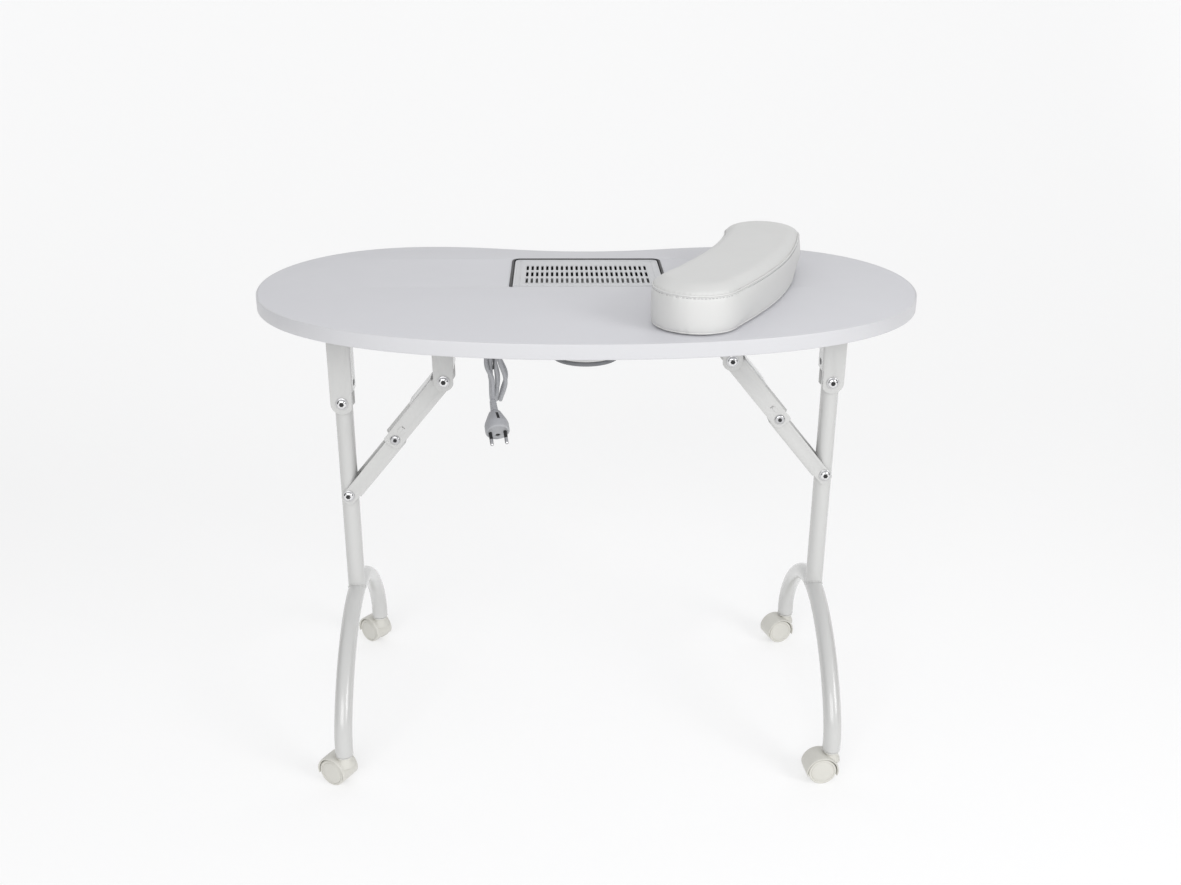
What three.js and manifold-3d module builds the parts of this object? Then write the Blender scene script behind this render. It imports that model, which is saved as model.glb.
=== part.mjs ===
// Portable manicure table: kidney-shaped top, dust collector, two folding caster legs and an arm cushion.
// Millimetres. +X to the right, +Y to the concave rear edge, +Z up, origin on the floor under the middle.
import * as THREE from 'three';
import { mergeVertices } from 'three/addons/utils/BufferGeometryUtils.js';
import Module from 'manifold-3d';

const wasm = await Module();
wasm.setup();

// ---------------------------------------------------------------- driving dimensions
const GAP = 0.3; // between pieces that touch
const HOLE_PLAY = 0.3; // a drilled hole is this much larger in radius than its bolt

const TOP_HEIGHT = 668;
const BOARD_THICKNESS = 20;
const BAND_THICKNESS = 2;
const UNDERSIDE = TOP_HEIGHT - BOARD_THICKNESS;
const HALF_WIDTH = 450;
const HALF_DEPTH = 247;
const WIDEST_Y = 30; // where the top is widest
const LOBE_X = 232; // where the rear edge is furthest back
const REAR_DIP_Y = 217; // the rear edge at the middle

const VENT = { xMin: -108, xMax: 110, yMin: 12, yMax: 168 }; // cutout in the board
const VENT_REAR_CORNER = 12;
const VENT_FRONT_CORNER = 3;
const FRAME_WALL = 3;
const FRAME_BOTTOM = 643;
const FRAME_PROUD = 0.9; // the frame stands above the grille and the board
const LEDGE_WIDTH = 8;
const LEDGE_THICKNESS = 3;
const GRILLE_THICKNESS = 2.4;
const SLOT_COLUMNS = 25;
const SLOT_ROWS = 3;
const SLOT = { width: 3.4, length: 27, pitchX: 7.05, pitchY: 35, firstX: -84.5, firstY: 48.5 };

const HOUSING_WALL = 2;
const HOUSING_FLOOR = 600;
const HOUSING_FLANGE = 9;
const FAN_X = -2;
const FAN_Y = 60;
const FAN_DUCT_RADIUS = 44; // inside
const FAN_DUCT_WALL = 2;
const FAN_DUCT_BOTTOM = 558.3;
const GUARD_RADIUS = 49;
const GUARD_BOTTOM = 552;
const GUARD_RIM_INNER = 41;
const GUARD_RINGS = [22, 31];
const GUARD_CENTRE = 15;
const GUARD_BAR = 3;
const BLADE = { count: 7, length: 26, width: 20, thickness: 1.6, middle: 29, pitch: 0.6 };
const ROTOR = { top: 588, bottom: 563, radius: 17, wall: 1.8, roof: 2.5, pinRadius: 1.6, pinBottom: 568 };
const MOTOR = { radius: 14, shoulder: 580, tubeRadius: 2.2, tubeBottom: 566 };
const FILTER = { xMin: -90, xMax: 92, yMin: 14, yMax: 150, height: 8 };

const TUBE_RADIUS = 12.5;
const TUBE_WALL = 1.5;
const TUBE_SIDES = 16;
const LEG_X = 343;
const LEG_Y = 5;
const LEG_PIVOT_Z = 535; // right leg; the left one is LEFT_DROP lower
const LEFT_DROP = 29; // lets the two legs fold over each other
const POST_ABOVE_PIVOT = 27;
const ARCH_CROWN_Z = 207;
const ARCH_SHOULDER = 105; // the arch runs level towards this reach, then turns down
const ARCH_SHIN_Z = 106;
const ARCH_STRAIGHT = 14; // straight tube above each end
const FOOT_REACH = 192; // from the post to each caster, in Y
const TUBE_END_Z = 49;
const ARCH_STEPS = 22;

const BOLT_RADIUS = 4;
const HEAD_RADIUS = 7;
const HEAD_HEIGHT = 3.2;
const BOLT_SIDES = 12;
const PLATE = 2; // pressed steel thickness
const LEG_BRACKET_INNER = 13.5; // half the room between the two plates
const LOWER_LINK_INNER = 13.5;
const UPPER_LINK_INNER = 16;
const BRACE_BRACKET_INNER = 18.5;
const BRACKET_HALF_WIDTH = 16;
const BRACE_BRACKET_X = 200;
const BRACE_PIVOT_UP = 34; // brace pivot above the leg pivot
const BRACE_FOOT_DOWN = 141; // brace foot below the leg pivot
const LOWER_WEB = 15; // from the pivot line to the back of the channel
const UPPER_WEB = 16;
const LOWER_OPEN_EDGE = 8;
const UPPER_OPEN_EDGE = 12;
const LINK_TAIL = 11;
const UPPER_WEB_SETBACK = 54; // the folded lower link needs this room at the knee
const WEB_START = 10; // along the link from its first pivot
const LOWER_WEB_PAST_KNEE = 4;
const LEG_BRACKET = { bottomRadius: 16, webAbovePivot: 17 };
const BRACE_BRACKET = { bottomRadius: 14, webAbovePivot: 18 };
const BRACKET_EAR = 18; // how far the screw plate reaches past the plates

const WHEEL_RADIUS = 20;
const WHEEL_WIDTH = 11;
const WHEEL_OFFSET = 9.4;
const WHEEL_EDGE = 2; // chamfer
const CASTER_TRAIL = 14;
const AXLE_RADIUS = 2.5;
const STEM_RADIUS = 4;
const STEM_TOP = 60;
const HOOD_TOP = 45.6;
const SOCKET_BOTTOM = 46;
const HOOD_INNER = 21.3;
const HOOD_OUTER = 23.9;
const HOOD_HALF_WIDTH = 16;
const HOOD_FROM = -0.25; // radians round the axle
const HOOD_TO = Math.PI + 0.3;
const HOOD_RIB_HALF = 3.2;
const HOOD_NECK_RADIUS = 10;
// one caster per tube end: which side and end it is on, and its heading when the table stands
const CASTERS = [
  { name: 'front_left', side: -1, end: -1, heading: 150 },
  { name: 'front_right', side: 1, end: -1, heading: 185 },
  { name: 'rear_left', side: -1, end: 1, heading: 140 },
  { name: 'rear_right', side: 1, end: 1, heading: 198 },
];

const CORD_RADIUS = 2.8;
const CORD_SIDES = 8;
const GLAND = { x: -102, z: 624, length: 27.7, flange: 9, root: 6.4, tip: 4 };
const HANK = { x: -127, y: -80, top: 643, bottom: 536, turns: 4, foldRadius: 17.2 };
const TIE_Z = 611;
const TIE_HEIGHT = 8;
const TIE_THICKNESS = 1.5;
const STRAP_HALF_WIDTH = 4;
const STRAP_PAD_HALF = 9;
const STRAP_PAD_THICKNESS = 2.4;

const SWITCH = { x: 130, y: -150, length: 30, width: 20, height: 18 };
const ROCKER_TILT = 0.21; // radians each way

const CUSHION_BOTTOM = TOP_HEIGHT + GAP;
const CUSHION_HEIGHT = 56;
const CUSHION_NEAR = { x: 131, y: -163, halfWidth: 60 };
const CUSHION_FAR = { x: 253, y: 118, halfWidth: 57 };
const CUSHION_BEND = { x: 224, y: -22 }; // control point of its middle line

const RIGHT_ANGLE = Math.PI / 2;

// ---------------------------------------------------------------- colours
function material(color, roughness, metalness = 0) {
  return new THREE.MeshStandardMaterial({ color, roughness, metalness });
}
const LAMINATE = material(0xd6d6db, 0.45);
const BAND = material(0xe6e6ea, 0.4);
const WHITE_PAINT = material(0xe4e4e1, 0.35);
const DARK_PLASTIC = material(0x2a2b2d, 0.5);
const SILVER = material(0xc9cbcf, 0.4, 0.7);
const GREY_PLASTIC = material(0xb9bbc0, 0.5);
const BLACK_PLASTIC = material(0x1b1c1e, 0.45);
const FILTER_MAT = material(0x55585c, 0.95);
const STEEL = material(0xb4b6b8, 0.3, 1);
const CASTER_PLASTIC = material(0xdedcd5, 0.4);
const CORD_GREY = material(0x9a9b9e, 0.55);
const LEATHERETTE = material(0xe9e9e6, 0.45);

// ---------------------------------------------------------------- solids
function signedVolume(geometry) {
  const p = geometry.attributes.position;
  const index = geometry.index;
  const count = index ? index.count : p.count;
  const corner = [new THREE.Vector3(), new THREE.Vector3(), new THREE.Vector3()];
  let total = 0;
  for (let i = 0; i < count; i += 3) {
    corner.forEach((v, k) => v.fromBufferAttribute(p, index ? index.getX(i + k) : i + k));
    total += corner[0].dot(corner[1].clone().cross(corner[2]));
  }
  return total / 6;
}

// A copy with only positions, shared corners merged, and its faces pointing out.
function closedGeometry(geometry) {
  const bare = geometry.clone();
  bare.deleteAttribute('normal');
  bare.deleteAttribute('uv');
  const merged = mergeVertices(bare, 1e-4);
  if (signedVolume(merged) < 0) {
    merged.index.array.reverse();
  }
  merged.computeVertexNormals();
  return merged;
}

function solidOf(geometry) {
  const closed = closedGeometry(geometry);
  const vertProperties = new Float32Array(closed.attributes.position.array);
  const triVerts = new Uint32Array(closed.index.array);
  return new wasm.Manifold(new wasm.Mesh({ numProp: 3, vertProperties, triVerts }));
}

function geometryOf(solid) {
  const mesh = solid.getMesh();
  const geometry = new THREE.BufferGeometry();
  geometry.setAttribute('position', new THREE.BufferAttribute(mesh.vertProperties, 3));
  geometry.setIndex(new THREE.BufferAttribute(mesh.triVerts, 1));
  geometry.computeVertexNormals();
  return geometry;
}

// Joins the first list and cuts the second list out of it.
function combine(joined, cut = []) {
  let solid = solidOf(joined[0]);
  joined.slice(1).forEach((piece) => {
    solid = solid.add(solidOf(piece));
  });
  cut.forEach((piece) => {
    solid = solid.subtract(solidOf(piece));
  });
  return geometryOf(solid);
}

function box(xMin, xMax, yMin, yMax, zMin, zMax) {
  const geometry = new THREE.BoxGeometry(xMax - xMin, yMax - yMin, zMax - zMin);
  return geometry.translate((xMin + xMax) / 2, (yMin + yMax) / 2, (zMin + zMax) / 2);
}

function rodY(radius, yMin, yMax, x, z, sides = BOLT_SIDES) {
  const geometry = new THREE.CylinderGeometry(radius, radius, yMax - yMin, sides);
  return geometry.translate(x, (yMin + yMax) / 2, z);
}

function rodZ(radius, zMin, zMax, x, y, sides = BOLT_SIDES) {
  const geometry = new THREE.CylinderGeometry(radius, radius, zMax - zMin, sides);
  return geometry.rotateX(RIGHT_ANGLE).translate(x, y, (zMin + zMax) / 2);
}

// A flat shape drawn in X and Y, made thick in Z.
function slab(shape, zMin, zMax, curveSegments = 6) {
  const options = { depth: zMax - zMin, bevelEnabled: false, curveSegments };
  return new THREE.ExtrudeGeometry(shape, options).translate(0, 0, zMin);
}

// A flat shape drawn in X and Z, made thick in Y.
function upright(shape, yMin, yMax, curveSegments = 6) {
  const options = { depth: yMax - yMin, bevelEnabled: false, curveSegments };
  return new THREE.ExtrudeGeometry(shape, options).rotateX(RIGHT_ANGLE).translate(0, yMax, 0);
}

// A profile of [radius, height] pairs turned about Z.
function turned(profile, sides = BOLT_SIDES) {
  const points = profile.map(([radius, height]) => new THREE.Vector2(radius, height));
  return new THREE.LatheGeometry(points, sides).rotateX(RIGHT_ANGLE);
}

function circlePath(radius, x = 0, y = 0) {
  return new THREE.Path().absarc(x, y, radius, 0, 2 * Math.PI, true);
}

// A rectangle whose front corners and rear corners have their own radii.
function roundedRectangle({ xMin, xMax, yMin, yMax }, frontRadius, rearRadius) {
  const shape = new THREE.Shape();
  shape.moveTo(xMin + frontRadius, yMin);
  shape.lineTo(xMax - frontRadius, yMin);
  shape.absarc(xMax - frontRadius, yMin + frontRadius, frontRadius, -RIGHT_ANGLE, 0);
  shape.lineTo(xMax, yMax - rearRadius);
  shape.absarc(xMax - rearRadius, yMax - rearRadius, rearRadius, 0, RIGHT_ANGLE);
  shape.lineTo(xMin + rearRadius, yMax);
  shape.absarc(xMin + rearRadius, yMax - rearRadius, rearRadius, RIGHT_ANGLE, Math.PI);
  shape.lineTo(xMin, yMin + frontRadius);
  shape.absarc(xMin + frontRadius, yMin + frontRadius, frontRadius, Math.PI, 3 * RIGHT_ANGLE);
  return shape;
}

function shrunk({ xMin, xMax, yMin, yMax }, by) {
  return { xMin: xMin + by, xMax: xMax - by, yMin: yMin + by, yMax: yMax - by };
}

// The closed outline moved inwards by a distance.
function insetOutline(points, distance) {
  const direction = THREE.ShapeUtils.isClockWise(points) ? -1 : 1;
  return points.map((point, i) => {
    const before = points[(i + points.length - 1) % points.length];
    const after = points[(i + 1) % points.length];
    const along = after.clone().sub(before).normalize();
    return new THREE.Vector2(
      point.x - direction * along.y * distance,
      point.y + direction * along.x * distance,
    );
  });
}

const table = new THREE.Group();

function addPiece(name, geometry, look, parent = table) {
  const mesh = new THREE.Mesh(closedGeometry(geometry), look);
  mesh.name = name;
  parent.add(mesh);
  return mesh;
}

// ---------------------------------------------------------------- top
function topOutline() {
  const shape = new THREE.Shape();
  shape.moveTo(0, REAR_DIP_Y);
  shape.bezierCurveTo(99, REAR_DIP_Y, 138, HALF_DEPTH, LOBE_X, HALF_DEPTH);
  shape.bezierCurveTo(366, HALF_DEPTH, HALF_WIDTH, 146, HALF_WIDTH, WIDEST_Y);
  shape.bezierCurveTo(HALF_WIDTH, -135, 300, -HALF_DEPTH, 0, -HALF_DEPTH);
  shape.bezierCurveTo(-300, -HALF_DEPTH, -HALF_WIDTH, -135, -HALF_WIDTH, WIDEST_Y);
  shape.bezierCurveTo(-HALF_WIDTH, 146, -366, HALF_DEPTH, -LOBE_X, HALF_DEPTH);
  shape.bezierCurveTo(-138, HALF_DEPTH, -99, REAR_DIP_Y, 0, REAR_DIP_Y);
  const points = shape.getPoints(12);
  points.pop();
  return points;
}

function addTop() {
  const outline = topOutline();
  const board = new THREE.Shape(insetOutline(outline, BAND_THICKNESS + GAP));
  const cutout = roundedRectangle(VENT, VENT_FRONT_CORNER, VENT_REAR_CORNER);
  board.holes.push(new THREE.Path(cutout.getPoints(4)));
  addPiece('tabletop', slab(board, UNDERSIDE, TOP_HEIGHT), LAMINATE);
  const whole = slab(new THREE.Shape(outline), UNDERSIDE, TOP_HEIGHT);
  const innerEdge = new THREE.Shape(insetOutline(outline, BAND_THICKNESS));
  const inside = slab(innerEdge, UNDERSIDE - 1, TOP_HEIGHT + 1);
  addPiece('edge_band', combine([whole], [inside]), BAND);
}

// ---------------------------------------------------------------- dust collector
function ventRing(outer, inner, zMin, zMax) {
  const ring = roundedRectangle(outer, VENT_FRONT_CORNER, VENT_REAR_CORNER);
  ring.holes.push(roundedRectangle(inner, 1, VENT_REAR_CORNER - 3));
  return slab(ring, zMin, zMax, 4);
}

function addVent() {
  const outer = shrunk(VENT, GAP);
  const inner = shrunk(outer, FRAME_WALL);
  const ledgeTop = TOP_HEIGHT - GRILLE_THICKNESS - GAP;
  const frameTop = TOP_HEIGHT + FRAME_PROUD;
  const wall = ventRing(outer, inner, FRAME_BOTTOM, frameTop);
  const ledge = ventRing(shrunk(outer, 1), shrunk(inner, LEDGE_WIDTH), ledgeTop - LEDGE_THICKNESS, ledgeTop);
  // the grille covers the front wall, so that wall stops at the ledge
  const frontCut = box(VENT.xMin + FRAME_WALL + 1, VENT.xMax - FRAME_WALL - 1, VENT.yMin - 1,
    VENT.yMin + FRAME_WALL + 1, ledgeTop, frameTop + 1);
  addPiece('vent_frame', combine([wall, ledge], [frontCut]), DARK_PLASTIC);

  const seat = shrunk(inner, 1);
  seat.yMin = VENT.yMin + 1;
  seat.xMin = VENT.xMin + FRAME_WALL + 1.5;
  seat.xMax = VENT.xMax - FRAME_WALL - 1.5;
  const panel = roundedRectangle(seat, 1, VENT_REAR_CORNER - 4);
  const slots = [];
  for (let row = 0; row < SLOT_ROWS; row += 1) {
    for (let column = 0; column < SLOT_COLUMNS; column += 1) {
      const x = SLOT.firstX + column * SLOT.pitchX;
      const y = SLOT.firstY + row * SLOT.pitchY;
      slots.push(box(x - SLOT.width / 2, x + SLOT.width / 2, y - SLOT.length / 2, y + SLOT.length / 2,
        ledgeTop - 1, TOP_HEIGHT + 1));
    }
  }
  addPiece('vent_grille', combine([slab(panel, ledgeTop + GAP, TOP_HEIGHT, 4)], slots), SILVER);
}

function addHousing() {
  const outside = shrunk(VENT, -4);
  const inside = shrunk(outside, HOUSING_WALL);
  const top = UNDERSIDE - GAP;
  const walls = ventRing(outside, inside, HOUSING_FLOOR, top);
  const flange = ventRing(shrunk(outside, -HOUSING_FLANGE), shrunk(outside, 1), top - HOUSING_WALL, top);
  const floor = slab(roundedRectangle(shrunk(outside, 1), 2, VENT_REAR_CORNER), HOUSING_FLOOR,
    HOUSING_FLOOR + HOUSING_WALL, 4);
  const duct = rodZ(FAN_DUCT_RADIUS + FAN_DUCT_WALL, FAN_DUCT_BOTTOM, HOUSING_FLOOR + 1, FAN_X, FAN_Y, 24);
  const bore = rodZ(FAN_DUCT_RADIUS, FAN_DUCT_BOTTOM - 1, HOUSING_FLOOR + 5, FAN_X, FAN_Y, 24);
  addPiece('fan_housing', combine([walls, flange, floor, duct], [bore]), WHITE_PAINT);

  const matTop = HOUSING_FLOOR + HOUSING_WALL + GAP;
  const mat = box(FILTER.xMin, FILTER.xMax, FILTER.yMin, FILTER.yMax, matTop, matTop + FILTER.height);
  addPiece('dust_filter', mat, FILTER_MAT);
}

function addFan() {
  const hub = turned([[0, ROTOR.top], [ROTOR.radius, ROTOR.top], [ROTOR.radius, ROTOR.bottom],
    [ROTOR.radius - ROTOR.wall, ROTOR.bottom], [ROTOR.radius - ROTOR.wall, ROTOR.top - ROTOR.roof],
    [ROTOR.pinRadius, ROTOR.top - ROTOR.roof], [ROTOR.pinRadius, ROTOR.pinBottom], [0, ROTOR.pinBottom]], 20);
  const bladeZ = (ROTOR.top + ROTOR.bottom) / 2;
  const blades = [];
  for (let i = 0; i < BLADE.count; i += 1) {
    const blade = new THREE.BoxGeometry(BLADE.length, BLADE.width, BLADE.thickness);
    blade.rotateX(BLADE.pitch).translate(BLADE.middle, 0, bladeZ);
    blades.push(blade.rotateZ((i * 2 * Math.PI) / BLADE.count));
  }
  addPiece('fan_rotor', combine([hub, ...blades]).translate(FAN_X, FAN_Y, 0), BLACK_PLASTIC);

  const motorBottom = GUARD_BOTTOM + GUARD_BAR + GAP;
  const motor = turned([[0, MOTOR.tubeBottom], [MOTOR.tubeRadius, MOTOR.tubeBottom],
    [MOTOR.tubeRadius, MOTOR.shoulder], [MOTOR.radius, MOTOR.shoulder], [MOTOR.radius, motorBottom],
    [0, motorBottom]], 20);
  addPiece('fan_motor', motor.translate(FAN_X, FAN_Y, 0), BLACK_PLASTIC);

  const rimTop = FAN_DUCT_BOTTOM - GAP;
  const rim = turned([[GUARD_RIM_INNER, GUARD_BOTTOM], [GUARD_RADIUS, GUARD_BOTTOM + 1],
    [GUARD_RADIUS, rimTop], [GUARD_RIM_INNER, rimTop], [GUARD_RIM_INNER, GUARD_BOTTOM]], 24);
  const rings = GUARD_RINGS.map((radius) => turned([[radius, GUARD_BOTTOM], [radius + 2, GUARD_BOTTOM],
    [radius + 2, GUARD_BOTTOM + 2.5], [radius, GUARD_BOTTOM + 2.5], [radius, GUARD_BOTTOM]], 16));
  const centre = rodZ(GUARD_CENTRE, GUARD_BOTTOM, GUARD_BOTTOM + GUARD_BAR, 0, 0, 20);
  const spokeReach = GUARD_RIM_INNER + 2;
  const spokes = [0, 1].map((i) => box(-spokeReach, spokeReach, -GUARD_BAR / 2, GUARD_BAR / 2,
    GUARD_BOTTOM + 0.4, GUARD_BOTTOM + 2.9).rotateZ(i * RIGHT_ANGLE));
  const guard = combine([rim, ...rings, centre, ...spokes]);
  addPiece('fan_guard', guard.translate(FAN_X, FAN_Y, 0), GREY_PLASTIC);
}

// ---------------------------------------------------------------- switch under the top
function addSwitch() {
  const { x, y, length, width, height } = SWITCH;
  const top = UNDERSIDE - GAP;
  const bottom = top - height;
  const body = box(x - length / 2, x + length / 2, y - width / 2, y + width / 2, bottom, top);
  const recess = box(x - 11, x + 11, y - 6.5, y + 6.5, bottom - 1, bottom + 9);
  addPiece('switch_body', combine([body], [recess]), BLACK_PLASTIC);

  const rocker = new THREE.Shape();
  rocker.moveTo(-9.5, -2.4);
  rocker.lineTo(0, -0.4);
  rocker.lineTo(9.5, -2.4);
  rocker.lineTo(8.5, 2);
  rocker.lineTo(0, 3.4);
  rocker.lineTo(-8.5, 2);
  const key = upright(rocker, -5.9, 5.9).rotateY(ROCKER_TILT);
  const mesh = addPiece('switch_rocker', key, BLACK_PLASTIC);
  mesh.position.set(x, y, bottom + 2.6);
}

// ---------------------------------------------------------------- folding legs
function legPivotZ(side) {
  return side > 0 ? LEG_PIVOT_Z : LEG_PIVOT_Z - LEFT_DROP;
}

// A pair of equal plates either side of the leg's plane.
function platePair(shape, inner) {
  return [
    upright(shape, LEG_Y + inner, LEG_Y + inner + PLATE),
    upright(shape, LEG_Y - inner - PLATE, LEG_Y - inner),
  ];
}

// A bolt across the leg's plane, with a head at the front and a nut at the back.
function boltAcross(x, z, inner) {
  const reach = inner + PLATE + GAP;
  const shank = rodY(BOLT_RADIUS, LEG_Y - reach - 1, LEG_Y + reach + 1, x, z);
  const head = new THREE.CylinderGeometry(HEAD_RADIUS, HEAD_RADIUS - 2.2, HEAD_HEIGHT, BOLT_SIDES);
  head.translate(x, LEG_Y - reach - HEAD_HEIGHT / 2, z);
  const nut = rodY(HEAD_RADIUS, LEG_Y + reach, LEG_Y + reach + HEAD_HEIGHT + 1, x, z, 6);
  return combine([shank, head, nut]);
}

function bracketShape(x, pivotZ, top, radius) {
  const shape = new THREE.Shape();
  shape.moveTo(x - BRACKET_HALF_WIDTH, top);
  shape.lineTo(x - radius, pivotZ);
  shape.absarc(x, pivotZ, radius, Math.PI, 2 * Math.PI);
  shape.lineTo(x + BRACKET_HALF_WIDTH, top);
  return shape;
}

// A channel bracket under the top: two plates, a web on the inner side and a screw plate with two ears.
function hangingBracket(side, x, pivotZ, inner, { bottomRadius, webAbovePivot }) {
  const top = UNDERSIDE - GAP;
  const plates = platePair(bracketShape(x, pivotZ, top, bottomRadius), inner);
  const outerHalf = inner + PLATE;
  const webEdge = x - side * BRACKET_HALF_WIDTH;
  const webOther = webEdge + side * PLATE;
  const web = box(Math.min(webEdge, webOther), Math.max(webEdge, webOther), LEG_Y - outerHalf,
    LEG_Y + outerHalf, pivotZ + webAbovePivot, top);
  const screwPlate = box(x - BRACKET_HALF_WIDTH, x + BRACKET_HALF_WIDTH, LEG_Y - outerHalf - BRACKET_EAR,
    LEG_Y + outerHalf + BRACKET_EAR, top - PLATE, top);
  const hole = rodY(BOLT_RADIUS + HOLE_PLAY, LEG_Y - 30, LEG_Y + 30, x, pivotZ);
  return combine([...plates, web, screwPlate], [hole]);
}

function archCurve() {
  const path = new THREE.CurvePath();
  const point = (reach, z) => new THREE.Vector3(0, reach, z);
  const straightTo = TUBE_END_Z + ARCH_STRAIGHT;
  [-1, 1].forEach((end) => {
    const foot = point(end * FOOT_REACH, TUBE_END_Z);
    const ankle = point(end * FOOT_REACH, straightTo);
    const shin = point(end * FOOT_REACH, ARCH_SHIN_Z);
    const shoulder = point(end * ARCH_SHOULDER, ARCH_CROWN_Z);
    const crown = point(0, ARCH_CROWN_Z);
    if (end < 0) {
      path.add(new THREE.LineCurve3(foot, ankle));
      path.add(new THREE.CubicBezierCurve3(ankle, shin, shoulder, crown));
    } else {
      path.add(new THREE.CubicBezierCurve3(crown, shoulder, shin, ankle));
      path.add(new THREE.LineCurve3(ankle, foot));
    }
  });
  return path;
}

function archTube(outerRadius, innerRadius = 0) {
  const section = new THREE.Shape().absarc(0, 0, outerRadius, 0, 2 * Math.PI);
  if (innerRadius > 0) {
    section.holes.push(circlePath(innerRadius));
  }
  const options = { extrudePath: archCurve(), steps: ARCH_STEPS, bevelEnabled: false, curveSegments: 6 };
  return new THREE.ExtrudeGeometry(section, options);
}

// A pressed channel from its first pivot at the origin to its second along +X. Its back is at side * Z.
function linkGeometry(side, length, { inner, web, openEdge, webFrom, webTo }) {
  const shape = new THREE.Shape();
  const corner = 6;
  shape.moveTo(-LINK_TAIL, -side * (openEdge - corner));
  shape.lineTo(-LINK_TAIL + corner, -side * openEdge);
  shape.lineTo(length + LINK_TAIL - corner, -side * openEdge);
  shape.lineTo(length + LINK_TAIL, -side * (openEdge - corner));
  shape.lineTo(length + LINK_TAIL, side * (web - corner));
  shape.lineTo(length + LINK_TAIL - corner, side * web);
  shape.lineTo(-LINK_TAIL + corner, side * web);
  shape.lineTo(-LINK_TAIL, side * (web - corner));
  const plates = [
    upright(shape, inner, inner + PLATE),
    upright(shape, -inner - PLATE, -inner),
  ];
  const edges = [side * web, side * (web - PLATE)];
  const back = box(webFrom, webTo, -inner - PLATE, inner + PLATE, Math.min(...edges), Math.max(...edges));
  const holes = [0, length].map((x) => rodY(BOLT_RADIUS + HOLE_PLAY, -30, 30, x, 0));
  return combine([...plates, back], holes);
}

function addLeg(side) {
  const name = side > 0 ? 'right' : 'left';
  const x = side * LEG_X;
  const pivotZ = legPivotZ(side);
  const footZ = pivotZ - BRACE_FOOT_DOWN;
  const braceX = side * BRACE_BRACKET_X;
  const braceZ = pivotZ + BRACE_PIVOT_UP;

  const legBracket = hangingBracket(side, x, pivotZ, LEG_BRACKET_INNER, LEG_BRACKET);
  addPiece(`leg_bracket_${name}`, legBracket, WHITE_PAINT);
  addPiece(`leg_pivot_bolt_${name}`, boltAcross(x, pivotZ, LEG_BRACKET_INNER), STEEL);
  const braceBracket = hangingBracket(side, braceX, braceZ, BRACE_BRACKET_INNER, BRACE_BRACKET);
  addPiece(`brace_bracket_${name}`, braceBracket, WHITE_PAINT);
  addPiece(`brace_pivot_pin_${name}`, boltAcross(braceX, braceZ, BRACE_BRACKET_INNER), STEEL);

  const drill = BOLT_RADIUS + HOLE_PLAY;
  const post = combine(
    [rodZ(TUBE_RADIUS, ARCH_CROWN_Z, pivotZ + POST_ABOVE_PIVOT, x, LEG_Y, TUBE_SIDES)],
    [
      rodZ(TUBE_RADIUS - TUBE_WALL, ARCH_CROWN_Z - 1, pivotZ + POST_ABOVE_PIVOT + 1, x, LEG_Y, TUBE_SIDES),
      rodY(drill, LEG_Y - 20, LEG_Y + 20, x, pivotZ),
      rodY(drill, LEG_Y - 20, LEG_Y + 20, x, footZ),
      archTube(TUBE_RADIUS + GAP).translate(x, LEG_Y, 0),
    ],
  );
  addPiece(`leg_post_${name}`, post, WHITE_PAINT);
  const arch = addPiece(`foot_arch_${name}`, archTube(TUBE_RADIUS, TUBE_RADIUS - TUBE_WALL), WHITE_PAINT);
  arch.position.set(x, LEG_Y, 0);
  addPiece(`brace_foot_bolt_${name}`, boltAcross(x, footZ, LOWER_LINK_INNER), STEEL);

  const run = side * (LEG_X - BRACE_BRACKET_X);
  const drop = braceZ - footZ;
  const half = Math.hypot(run, drop) / 2;
  const upper = linkGeometry(side, half, {
    inner: UPPER_LINK_INNER,
    web: UPPER_WEB,
    openEdge: UPPER_OPEN_EDGE,
    webFrom: WEB_START,
    webTo: half - UPPER_WEB_SETBACK,
  });
  const lower = linkGeometry(side, half, {
    inner: LOWER_LINK_INNER,
    web: LOWER_WEB,
    openEdge: LOWER_OPEN_EDGE,
    webFrom: WEB_START,
    webTo: half + LOWER_WEB_PAST_KNEE,
  });
  const upperMesh = addPiece(`upper_link_${name}`, upper, WHITE_PAINT);
  upperMesh.position.set(braceX, LEG_Y, braceZ);
  upperMesh.rotation.y = Math.atan2(drop, run);
  const lowerMesh = addPiece(`lower_link_${name}`, lower, WHITE_PAINT);
  lowerMesh.position.set(x, LEG_Y, footZ);
  lowerMesh.rotation.y = Math.atan2(-drop, -run);

  const kneeX = (x + braceX) / 2;
  const kneeZ = (footZ + braceZ) / 2;
  [['front', -1], ['rear', 1]].forEach(([place, face]) => {
    const inside = face * UPPER_LINK_INNER;
    const seat = face * (UPPER_LINK_INNER + PLATE + GAP);
    const tip = face * (UPPER_LINK_INNER + PLATE + GAP + HEAD_HEIGHT);
    const shank = rodY(BOLT_RADIUS, Math.min(inside, seat), Math.max(inside, seat), 0, 0);
    const head = rodY(HEAD_RADIUS, Math.min(seat, tip), Math.max(seat, tip), 0, 0);
    const rivet = addPiece(`knee_rivet_${place}_${name}`, combine([shank, head]), STEEL);
    rivet.position.set(kneeX, LEG_Y, kneeZ);
  });
}

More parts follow.
